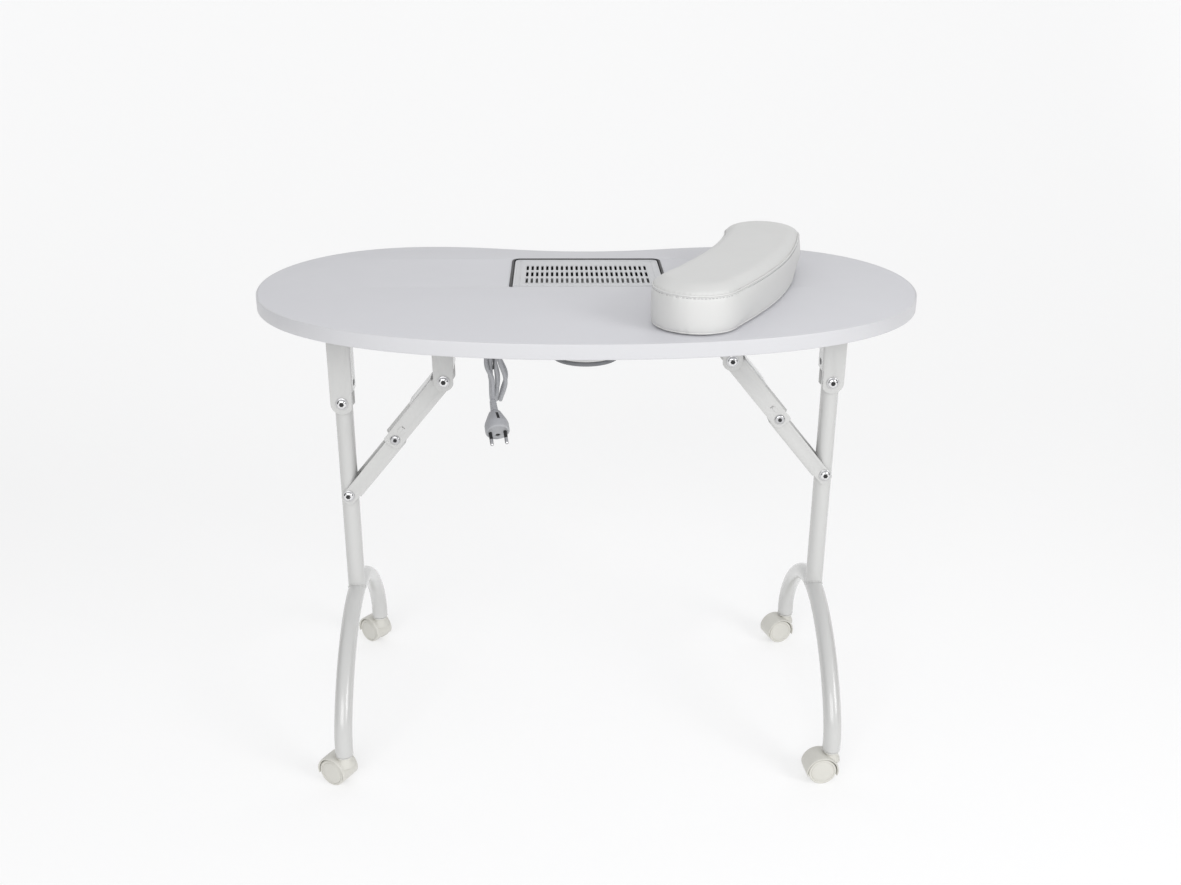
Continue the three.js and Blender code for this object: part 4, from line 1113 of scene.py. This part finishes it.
def bracket(name, side, x, pivot_z, inner, bottom_radius, web_above, spot):
    """A bracket under the board: two flanges, a web on the inner side and a screw plate with ears."""
    top = UNDERSIDE - GAP
    drop = top - pivot_z
    half = 0.016
    outline = [(-bottom_radius * math.sin(math.radians(a)), -bottom_radius * math.cos(math.radians(a)))
               for a in range(-90, 91, 10)]
    # X runs up from the pivot and Z runs towards the web
    silhouette = [(drop, half), (drop, -half)] + [(up, -across) for across, up in outline]
    made = channel(name, silhouette, inner, half, web_above, drop + 0.001, [(0, PIVOT_HOLE)])
    # local X up, local Z inwards
    place = Matrix(((0, 0, -side, x), (0, 1, 0, LEG_Y), (1, 0, 0, pivot_z), (0, 0, 0, 1)))
    if spot:
        height, length, width = spot
        slot = plate("slot", [slot_outline(0, 0, width, length)], 0.02, 0.0001)
        carve(made, shift(slot, x=height, z=half))
        # a black plate set in the slot so that the hole reads dark: painted shade in the slot
        cap = plate(name + "_spot_shade", [slot_outline(0, 0, width - 0.0002, length - 0.0002)], 0.0012, 0.0002)
        shift(cap, x=height, z=half - STEEL_PLATE / 2 - 0.0003)
        part(shade(move(cap, place)), "top", "black_plastic", BLACK_PLASTIC)
    move(made, place)
    ears = inner + STEEL_PLATE + 0.018
    holes = [circle(0.0024, hx, hy, 20) for hx in (-0.009, 0.009) for hy in (-ears + 0.009, ears - 0.009)]
    screw_plate = plate("screw_plate", [pad_outline(half, ears, 0.004), *holes],
                        STEEL_PLATE, 0.0004)
    shift(screw_plate, x, LEG_Y, top - STEEL_PLATE / 2)
    bead = tube("bead", [(x - side * (half - 0.0012), LEG_Y - inner, top - STEEL_PLATE - 0.0005),
                         (x - side * (half - 0.0012), LEG_Y + inner, top - STEEL_PLATE - 0.0005)], 0.0013, 10)
    screws = [screw(x + hx, LEG_Y + hy, top - STEEL_PLATE) for hx in (-0.009, 0.009)
              for hy in (-ears + 0.009, ears - 0.009)]
    return join(name, [made, screw_plate, bead]), join(name + "_screws", screws)


def link(name, side, length, inner, web, open_edge, web_from, web_to, boss_at=None):
    """A pressed link from its first pivot at the origin to its second along +X."""
    tail = 0.011
    outline = softened([(-tail, -open_edge, 0.0075), (length + tail, -open_edge, 0.0075),
                        (length + tail, web, 0.0085), (-tail, web, 0.0085)], 8)
    made = channel(name, outline, inner, web, web_from, web_to, [(0, PIVOT_HOLE), (length, PIVOT_HOLE)])
    if boss_at:
        x, z = boss_at
        reach = inner + STEEL_PLATE + 0.005
        slit = block("slit", (x - 0.0034, -reach, z - 0.0044), (x - 0.0018, reach, z + 0.0008))
        carve(made, slit)
        made = join(name, [made, *dimple(x + 0.003, z, inner + STEEL_PLATE)])
    if side < 0:
        move(made, Matrix.Scale(-1, 4, (0, 0, 1)))
    return made


def make_brace(side_name):
    """One side's two brackets, three pivot bolts, two brace links and the knee rivets between them."""
    side = SIDE[side_name]
    x = side * LEG_X
    brace_x = side * BRACE_X
    pivot_z = LEG_PIVOT[side_name]
    foot_z = pivot_z - FOOT_DOWN
    brace_z = pivot_z + BRACE_UP

    for name, at, height, inner, radius, web_above, spot in (
            ("leg", x, pivot_z, LEG_INNER, 0.016, 0.017, LEG_SPOT),
            ("brace", brace_x, brace_z, BRACKET_INNER, 0.014, 0.018, None)):
        hanger, screws = bracket(f"{name}_hanger_{side_name}", side, at, height, inner, radius, web_above,
                                 spot)
        part(shade(hanger), "top", "white_paint", PAINT, f"{name}_bracket_{side_name}")
        part(shade(screws), "top", "steel", STEEL)

    leg_reach = LEG_INNER + STEEL_PLATE + GAP
    brace_reach = BRACKET_INNER + STEEL_PLATE + GAP
    leg = f"leg_{side_name}"
    bolt(f"leg_bolt_{side_name}", leg_reach, x, pivot_z, "top", f"leg_pivot_bolt_{side_name}")
    bolt(f"brace_bolt_{side_name}", brace_reach, brace_x, brace_z, "top", f"brace_pivot_pin_{side_name}")
    bolt(f"foot_bolt_{side_name}", leg_reach, x, foot_z, leg, f"brace_foot_bolt_{side_name}")

    run = x - brace_x
    drop = brace_z - foot_z
    half = math.hypot(run, drop) / 2
    upper = link(f"brace_upper_{side_name}", side, half, UPPER_INNER, 0.016, 0.012, 0.010, half - 0.054,
                 (half - 0.020, 0.004))
    lower = link(f"brace_lower_{side_name}", side, half, LEG_INNER, 0.015, 0.008, 0.010, half + 0.004)
    for made, name, at, height, angle in (
            (upper, f"upper_link_{side_name}", brace_x, brace_z, math.atan2(drop, run)),
            (lower, f"lower_link_{side_name}", x, foot_z, math.atan2(-drop, -run))):
        place = Matrix.Translation((at, LEG_Y, height)) @ Matrix.Rotation(angle, 4, "Y")
        part(shade(move(made, place)), name, "white_paint", PAINT, name)

    for place, face in (("front", -1), ("rear", 1)):
        knee, core = rivet(face, UPPER_INNER, (x + brace_x) / 2, (foot_z + brace_z) / 2)
        knee.name = f"knee_pin_{place}_{side_name}"
        # the rivet's black core is painted shade in its hollow
        core.name = f"knee_hollow_shade_{place}_{side_name}"
        part(knee, f"upper_link_{side_name}", "steel", STEEL, f"knee_rivet_{place}_{side_name}")
        part(core, f"upper_link_{side_name}", "black_plastic", BLACK_PLASTIC)


# ---------------------------------------------------------------- legs
TUBE = 0.0125
TUBE_INSIDE = 0.011
CROWN_Z = 0.207
SHOULDER = 0.105
SHIN_Z = 0.106
TUBE_END = 0.049
FOOT_REACH = 0.192
WELD_STEPS = 48


def arch_points(steps=34):
    """The foot arch's middle line from the front tube end to the rear one, about the post."""
    ankle = TUBE_END + 0.014
    half = bezier((0, CROWN_Z), (SHOULDER, CROWN_Z), (FOOT_REACH, SHIN_Z), (FOOT_REACH, ankle), steps)
    half += [(FOOT_REACH, ankle), (FOOT_REACH, ankle - 0.007), (FOOT_REACH, TUBE_END)]
    front = [(0, -y, z) for y, z in reversed(half[1:])]
    return front + [(0, y, z) for y, z in half]


def make_leg(side_name):
    """A straight post with the bent foot tube welded under it."""
    side = SIDE[side_name]
    x = side * LEG_X
    top = LEG_PIVOT[side_name] + 0.027
    profile = [(TUBE, CROWN_Z + 0.002), (TUBE, top - 0.0005), (TUBE - 0.0005, top),
               (TUBE_INSIDE + 0.0003, top), (TUBE_INSIDE, top - 0.0004), (TUBE_INSIDE, CROWN_Z + 0.002)]
    post = shift(spin(f"post_{side_name}", profile, 64, True), x, LEG_Y)
    bead = []
    for i in range(WELD_STEPS + 1):
        a = 2 * math.pi * i / WELD_STEPS
        ripple = 0.0001 * math.sin(a * 24)
        bead.append((x + (TUBE + ripple) * math.cos(a), LEG_Y + (TUBE + ripple) * math.sin(a),
                     CROWN_Z + TUBE * abs(math.sin(a)) * 0.97 + 0.0006))
    weld = tube("weld", bead, [0.0011 + 0.0001 * math.sin(i * 2.1) for i in range(WELD_STEPS + 1)], 10)
    part(shade(join(f"post_{side_name}", [post, weld])), f"leg_{side_name}", "white_paint", PAINT,
         f"leg_post_{side_name}")
    arch = tube(f"arch_{side_name}", arch_points(), TUBE, 48)
    bevel(arch, 0.0006, 2, 60)
    part(shade(shift(arch, x, LEG_Y)), f"leg_{side_name}", "white_paint", PAINT, f"foot_arch_{side_name}")


for name in SIDE:
    make_brace(name)
    make_leg(name)


# ---------------------------------------------------------------- casters
CASTERS = {"front_left": (-1, -1, 150), "front_right": (1, -1, 185),
           "rear_left": (-1, 1, 140), "rear_right": (1, 1, 198)}
TRAIL = 0.014
WHEEL = 0.020
WHEEL_APART = 0.0094
WELL = 0.0213
RIB_HALF = 0.0032


def make_hood():
    """The hood in the caster's own frame: swivel axis on Z, wheels at +X."""
    side = [(WELL, 0.0150), (0.0219, 0.0158), (0.0226, 0.0160), (0.0232, 0.0157), (0.0236, 0.0148),
            (0.0239, 0.0120), (0.0241, 0.0070), (0.0242, 0.0)]
    section = [(r, -y) for r, y in side] + list(reversed(side[:-1]))
    start, end = -0.25, math.pi + 0.3
    steps = 44
    points, faces = [], []
    for i in range(steps + 1):
        a = start + (end - start) * i / steps
        thinned = min(1.0, 0.35 + 6.0 * min(i, steps - i) / steps)
        for r, y in section:
            radius = WELL + (r - WELL) * thinned
            points.append((TRAIL + radius * math.cos(a), y, WHEEL + radius * math.sin(a)))
    n = len(section)
    for i in range(steps):
        faces += ring_faces(i * n, (i + 1) * n, n)
    faces += [tuple(reversed(range(n))), tuple(range(steps * n, (steps + 1) * n))]
    shell = clean(mesh_of("shell", points, faces), 1e-7)
    neck = spin("neck", [(0, 0.032), (0.0136, 0.032), (0.0128, 0.0360), (0.0112, 0.0394), (0.0100, 0.0418),
                         (0.0092, 0.0438), (0.0088, 0.0450), (0.0082, 0.0456), (0.0060, 0.0456),
                         (0.0042, 0.0457), (0.0040, 0.0462), (0.0040, 0.0592), (0.0032, 0.0600),
                         (0, 0.0600)], 48)
    rib_outline = arc(TRAIL, WHEEL, 0.0222, 0, 180, 24) + [(TRAIL - 0.007, 0.014), (TRAIL + 0.007, 0.014)]
    rib = prism("rib", rib_outline, -RIB_HALF, RIB_HALF)
    move(rib, Y_TO_Z)
    boolean(neck, rib, "UNION")
    for face in (-1, 1):
        low, high = sorted((face * RIB_HALF, face * 0.034))
        carve(neck, rod_y("well", WELL - 0.0002, low, high, TRAIL, WHEEL, 56))
    bevel(neck, 0.0004, 2, 45)
    return shade(join("hood", [shell, neck]), 50)


def make_wheel(face):
    """One twin wheel in the caster's frame. Its disc looks outwards, to the -Y side for face -1."""
    profile = [(0, -0.0044), (0.0158, -0.0044), (0.0168, -0.0055), (0.0180, -0.0055), (0.0192, -0.0050),
               (0.0198, -0.0041), (0.0200, -0.0030), (0.0200, 0.0030), (0.0198, 0.0041), (0.0193, 0.0048),
               (0.0186, 0.0054), (0.0178, 0.0055), (0.0171, 0.0053), (0.0167, 0.0046), (0.0163, 0.0044),
               (0.0159, 0.0049), (0.0150, 0.0054), (0.0100, 0.0057), (0.0050, 0.0058), (0, 0.0059)]
    wheel = move(spin("wheel", profile, 72), turn_about("X", -90))
    if face < 0:
        move(wheel, MIRROR_Y)
    return shade(shift(wheel, TRAIL, face * WHEEL_APART, WHEEL), 35)


def make_caster(name, side, end, heading):
    x = side * LEG_X
    y = LEG_Y + end * FOOT_REACH
    leg = "leg_right" if side > 0 else "leg_left"
    socket = spin(f"socket_{name}", [(0.0043, 0.0611), (0.0043, 0.0465), (0.0048, 0.0460), (0.0113, 0.0460),
                                     (0.0118, 0.0465), (0.0120, 0.0474), (0.0119, 0.0478), (0.0099, 0.0479),
                                     (0.0098, 0.0615), (0.0090, 0.0627), (0.0043, 0.0627)], 56, True)
    part(shade(shift(socket, x, y), 35), leg, "socket_plastic", SOCKET, f"caster_socket_{name}")
    place = Matrix.Translation((x, y, 0)) @ turn_about("Z", heading)
    hood = move(make_hood(), place)
    hood.name = f"hood_{name}"
    part(hood, f"caster_{name}", "caster_plastic", CASTER, f"caster_hood_{name}")
    for node, face in (("wheel_a", -1), ("wheel_b", 1)):
        wheel = move(make_wheel(face), place)
        wheel.name = f"twin_{node}_{name}"
        part(wheel, f"wheels_{name}", "caster_plastic", CASTER, f"{node}_{name}")
    axle = spin("axle", [(0, -0.0140), (0.0022, -0.0140), (0.0025, -0.0137), (0.0025, 0.0137),
                         (0.0022, 0.0140), (0, 0.0140)], 28)
    move(axle, turn_about("X", -90))
    axle = move(shift(axle, TRAIL, 0, WHEEL), place)
    axle.name = f"axle_{name}"
    part(shade(axle), f"wheels_{name}", "steel", STEEL, f"caster_axle_{name}")


for name, (side, end, heading) in CASTERS.items():
    make_caster(name, side, end, heading)


# ---------------------------------------------------------------- arm cushion
CUSHION_BOTTOM = TOP + GAP
CUSHION_HEIGHT = 0.0575
SEAM_HEIGHT = 0.0495
CUSHION_NEAR = (Vector((0.131, -0.163)), 0.060)
CUSHION_FAR = (Vector((0.253, 0.118)), 0.057)
CUSHION_BEND = Vector((0.224, -0.022))
WAIST = 0.003  # how much fuller each side is at the middle
VOXEL = 0.005
CLOTH_FRAMES = 20
PUFF_LIMIT = 0.006
CROWN = 0.0042
CROWN_REACH = 0.045
CROWN_FROM = 0.047
PIPING = 0.0013
HEM = 0.0010
HEM_HEIGHT = 0.0035
STITCH_PITCH, STITCH_LENGTH = 0.0045, 0.0028


def cushion_outline(shrink=0.0, steps=30, cap_steps=18):
    near, near_half = CUSHION_NEAR
    far, far_half = CUSHION_FAR

    def at(t):
        return (1 - t) ** 2 * near + 2 * t * (1 - t) * CUSHION_BEND + t * t * far

    def along(t):
        return (2 * (1 - t) * (CUSHION_BEND - near) + 2 * t * (far - CUSHION_BEND)).normalized()

    def edge(sign):
        points = []
        for i in range(steps + 1):
            t = i / steps
            half = near_half + (far_half - near_half) * t + WAIST * math.sin(math.pi * t) - shrink
            direction = along(t)
            points.append(at(t) + sign * half * Vector((direction.y, -direction.x)))
        return points

    def cap(centre, radius, direction, start):
        first = math.atan2(direction.y, direction.x) + start
        turns = [first + math.pi * i / cap_steps for i in range(1, cap_steps)]
        return [centre + radius * Vector((math.cos(a), math.sin(a))) for a in turns]

    outline = edge(1) + cap(far, far_half - shrink, along(1), -math.pi / 2)
    outline += list(reversed(edge(-1))) + cap(near, near_half - shrink, along(0), math.pi / 2)
    return [(p.x, p.y) for p in outline]


def cushion_core():
    """A bean with rounded rims, a little smaller than the finished cushion."""
    layers = [(0.0030, 0.0000), (0.0012, 0.0010), (0.0004, 0.0040), (0.0, 0.012), (-0.0002, 0.024),
              (-0.0002, 0.036), (0.0, 0.0465), (0.0008, 0.0505), (0.0030, 0.0535), (0.0065, 0.0550)]
    points = []
    for shrink, height in layers:
        points += [(x, y, CUSHION_BOTTOM + height) for x, y in cushion_outline(shrink)]
    n = len(points) // len(layers)
    faces = [tuple(reversed(range(n)))]
    for k in range(len(layers) - 1):
        faces += ring_faces(k * n, (k + 1) * n, n)
    faces.append(tuple(range((len(layers) - 1) * n, len(layers) * n)))
    core = clean(mesh_of("cushion_cover", points, faces), 1e-6)
    remesh = core.modifiers.new("voxels", "REMESH")
    remesh.mode = "VOXEL"
    remesh.voxel_size = VOXEL
    return settle(core)


def puff(obj, limit):
    """Inflates the closed cloth, and lets no point move further than the limit."""
    rest = points_of(obj)
    cloth = obj.modifiers.new("cloth", "CLOTH")
    cloth.settings.use_pressure = True
    cloth.settings.uniform_pressure_force = 4
    cloth.settings.quality = 6
    cloth.settings.effector_weights.gravity = 0
    scene = bpy.context.scene
    for number in range(1, CLOTH_FRAMES + 1):
        scene.frame_set(number)
    settle(obj)
    scene.frame_set(1)
    moved = points_of(obj) - rest
    far = np.maximum(np.linalg.norm(moved, axis=1), 1e-9)
    share = np.minimum(1, limit / far)
    return rest + moved * share[:, None]


def distance_to_loop(points, loop):
    """How far each point is, in X and Y, from a closed outline."""
    a = np.array(loop)
    b = np.roll(a, -1, axis=0)
    along = b - a
    result = np.full(len(points), 1.0)
    for start, step in zip(a, along):
        t = np.clip(((points - start) @ step) / (step @ step), 0, 1)
        gap = np.linalg.norm(points - (start + t[:, None] * step), axis=1)
        result = np.minimum(result, gap)
    return result


def make_cushion():
    cover = cushion_core()
    places = puff(cover, PUFF_LIMIT)
    inside = distance_to_loop(places[:, :2], cushion_outline())
    height = places[:, 2] - CUSHION_BOTTOM
    # the top crowns towards its middle and the underside lies flat
    crown = np.clip(inside / CROWN_REACH, 0, 1)
    crown = CROWN * crown * crown * (3 - 2 * crown)
    height += np.where(height > CROWN_FROM, crown, 0)
    height = np.clip(height, 0.0, CUSHION_HEIGHT + 0.004)
    places[:, 2] = CUSHION_BOTTOM + height
    set_points(cover, places)
    smooth = cover.modifiers.new("smooth", "SMOOTH")
    smooth.factor = 0.5
    smooth.iterations = 6
    finer = cover.modifiers.new("finer", "SUBSURF")
    finer.levels = finer.render_levels = 2
    settle(cover)
    places = points_of(cover)
    places[:, 2] = np.maximum(places[:, 2], CUSHION_BOTTOM)
    set_points(cover, places)

    loop = seam_loop(cover, SEAM_HEIGHT)
    press_seam(cover, loop)
    shade(cover, 80)
    part(cover, "cushion", "leatherette", LEATHER, "arm_cushion")

    piping = shade(tube("cushion_piping", loop + loop[:2], PIPING, 12), 60)
    part(piping, "cushion", "leatherette", LEATHER)
    base = seam_loop(cover, HEM_HEIGHT)
    base = [(x, y, z - 0.0004) for x, y, z in base]
    hem = shade(tube("cushion_hem", base + base[:2], HEM, 10), 60)
    part(hem, "cushion", "leatherette", LEATHER)
    part(shade(make_stitches(loop)), "cushion", "leatherette", STRAP)


def seam_loop(obj, height):
    """Points on the cushion's side at one height, all the way round."""
    bpy.context.view_layer.update()
    middle = cushion_outline(0.030, 60, 24)
    outer = cushion_outline(-0.02, 60, 24)
    points = []
    for (x0, y0), (x1, y1) in zip(middle, outer):
        direction = Vector((x1 - x0, y1 - y0, 0)).normalized()
        hit, place, _, _ = obj.ray_cast(Vector((x0, y0, CUSHION_BOTTOM + height)), direction)
        if hit:
            points.append((place.x, place.y, place.z))
    return points


def press_seam(obj, loop):
    """Draws the cover in along the seam, so that the piping sits in a fold."""
    places = points_of(obj)
    normals = np.array([v.normal[:] for v in obj.data.vertices])
    line = np.array(loop)
    near = np.abs(places[:, 2] - line[0, 2]) < 0.012
    index = np.nonzero(near)[0]
    gap = np.full(len(index), 1.0)
    for point in line:
        gap = np.minimum(gap, np.linalg.norm(places[index] - point, axis=1))
    depth = 0.0011 * np.exp(-((gap / 0.0035) ** 2))
    places[index] -= normals[index] * depth[:, None]
    set_points(obj, places)


def make_stitches(loop):
    """Short thread stitches just under the piping."""
    stitches = []
    line = [Vector(p) for p in loop]
    walked = 0.0
    next_at = 0.0
    for a, b in zip(line, line[1:] + line[:1]):
        step = (b - a).length
        while next_at <= walked + step:
            at = a.lerp(b, (next_at - walked) / max(step, 1e-9))
            along = (b - a).normalized()
            out = Vector((along.y, -along.x, 0))
            centre = at + out * 0.0005 + Vector((0, 0, -0.0028))
            path = [centre + along * STITCH_LENGTH * s + out * 0.00025 * (1 - (2 * s) ** 2)
                    for s in (-0.5, -0.25, 0, 0.25, 0.5)]
            stitches.append(tube("stitch", path, 0.0003, 6))
            next_at += STITCH_PITCH
        walked += step
    return join("cushion_stitches", stitches)


make_cushion()


# ---------------------------------------------------------------- floor, light
def area_light(name, place, target, size, power):
    data = bpy.data.lights.new(name, "AREA")
    data.shape = "RECTANGLE"
    data.size, data.size_y = size
    data.energy = power
    lamp = bpy.data.objects.new(name, data)
    lamp.location = place
    lamp.rotation_euler = (Vector(target) - Vector(place)).to_track_quat("-Z", "Y").to_euler()
    bpy.context.scene.collection.objects.link(lamp)


BACKDROP_GLOW = 0.545
LIGHTS = (("front", (-0.9, -4.0, 2.4), (0, 0, 0.45), (3.0, 2.0), 70),
          ("right", (2.6, -2.0, 1.9), (0, 0, 0.4), (1.6, 1.6), 44))


def make_backdrop():
    """A wide floor that curves up into a wall far behind the table."""
    bend, depth, height, half = 1.6, 3.2, 5.0, 9.0
    line = [(-7.0, 0.0), (-2.0, 0.0), (depth - bend, 0.0)]
    line += [(depth - bend + bend * math.sin(a), bend - bend * math.cos(a)) for a in
             [math.radians(5 * i) for i in range(1, 19)]]
    line.append((depth, height))
    points = [(x, y, z) for y, z in line for x in (-half, half)]
    faces = [(2 * i, 2 * i + 1, 2 * i + 3, 2 * i + 2) for i in range(len(line) - 1)]
    sweep = mesh_of("backdrop", points, faces)
    paper = finish("backdrop", (0.45, 0.45, 0.451), 0.9, mottle=0.003, mottle_size=0.6, grain_depth=0.00001)
    shader = paper.node_tree.nodes["Principled BSDF"]
    shader.inputs["Specular IOR Level"].default_value = 0
    shader.inputs["Emission Color"].default_value = (1, 1, 1, 1)
    shader.inputs["Emission Strength"].default_value = BACKDROP_GLOW
    sweep.data.materials.append(paper)
    shade(sweep)


def make_flags():
    """Dark screens off to both sides, which shape the light on the tubes."""
    away, near, far, height = 2.4, -1.3, 1.0, 1.9
    dark = finish("flag", (0.03, 0.03, 0.03), 0.9)
    for side in (-1, 1):
        corners = [(side * away, y, z) for y, z in ((near, 0.02), (far, 0.02), (far, height), (near, height))]
        flag = mesh_of("flag", corners, [(0, 1, 2, 3)])
        flag.data.materials.append(dark)
        flag.visible_camera = False


def make_studio():
    make_backdrop()
    make_flags()
    for light in LIGHTS:
        area_light(*light)
    world = bpy.data.worlds.new("studio")
    world.use_nodes = True
    world.node_tree.nodes["Background"].inputs["Color"].default_value = (0.985, 0.99, 1.0, 1)
    world.node_tree.nodes["Background"].inputs["Strength"].default_value = 0.70
    bpy.context.scene.world = world
    bpy.context.scene.view_settings.view_transform = "Standard"


make_studio()
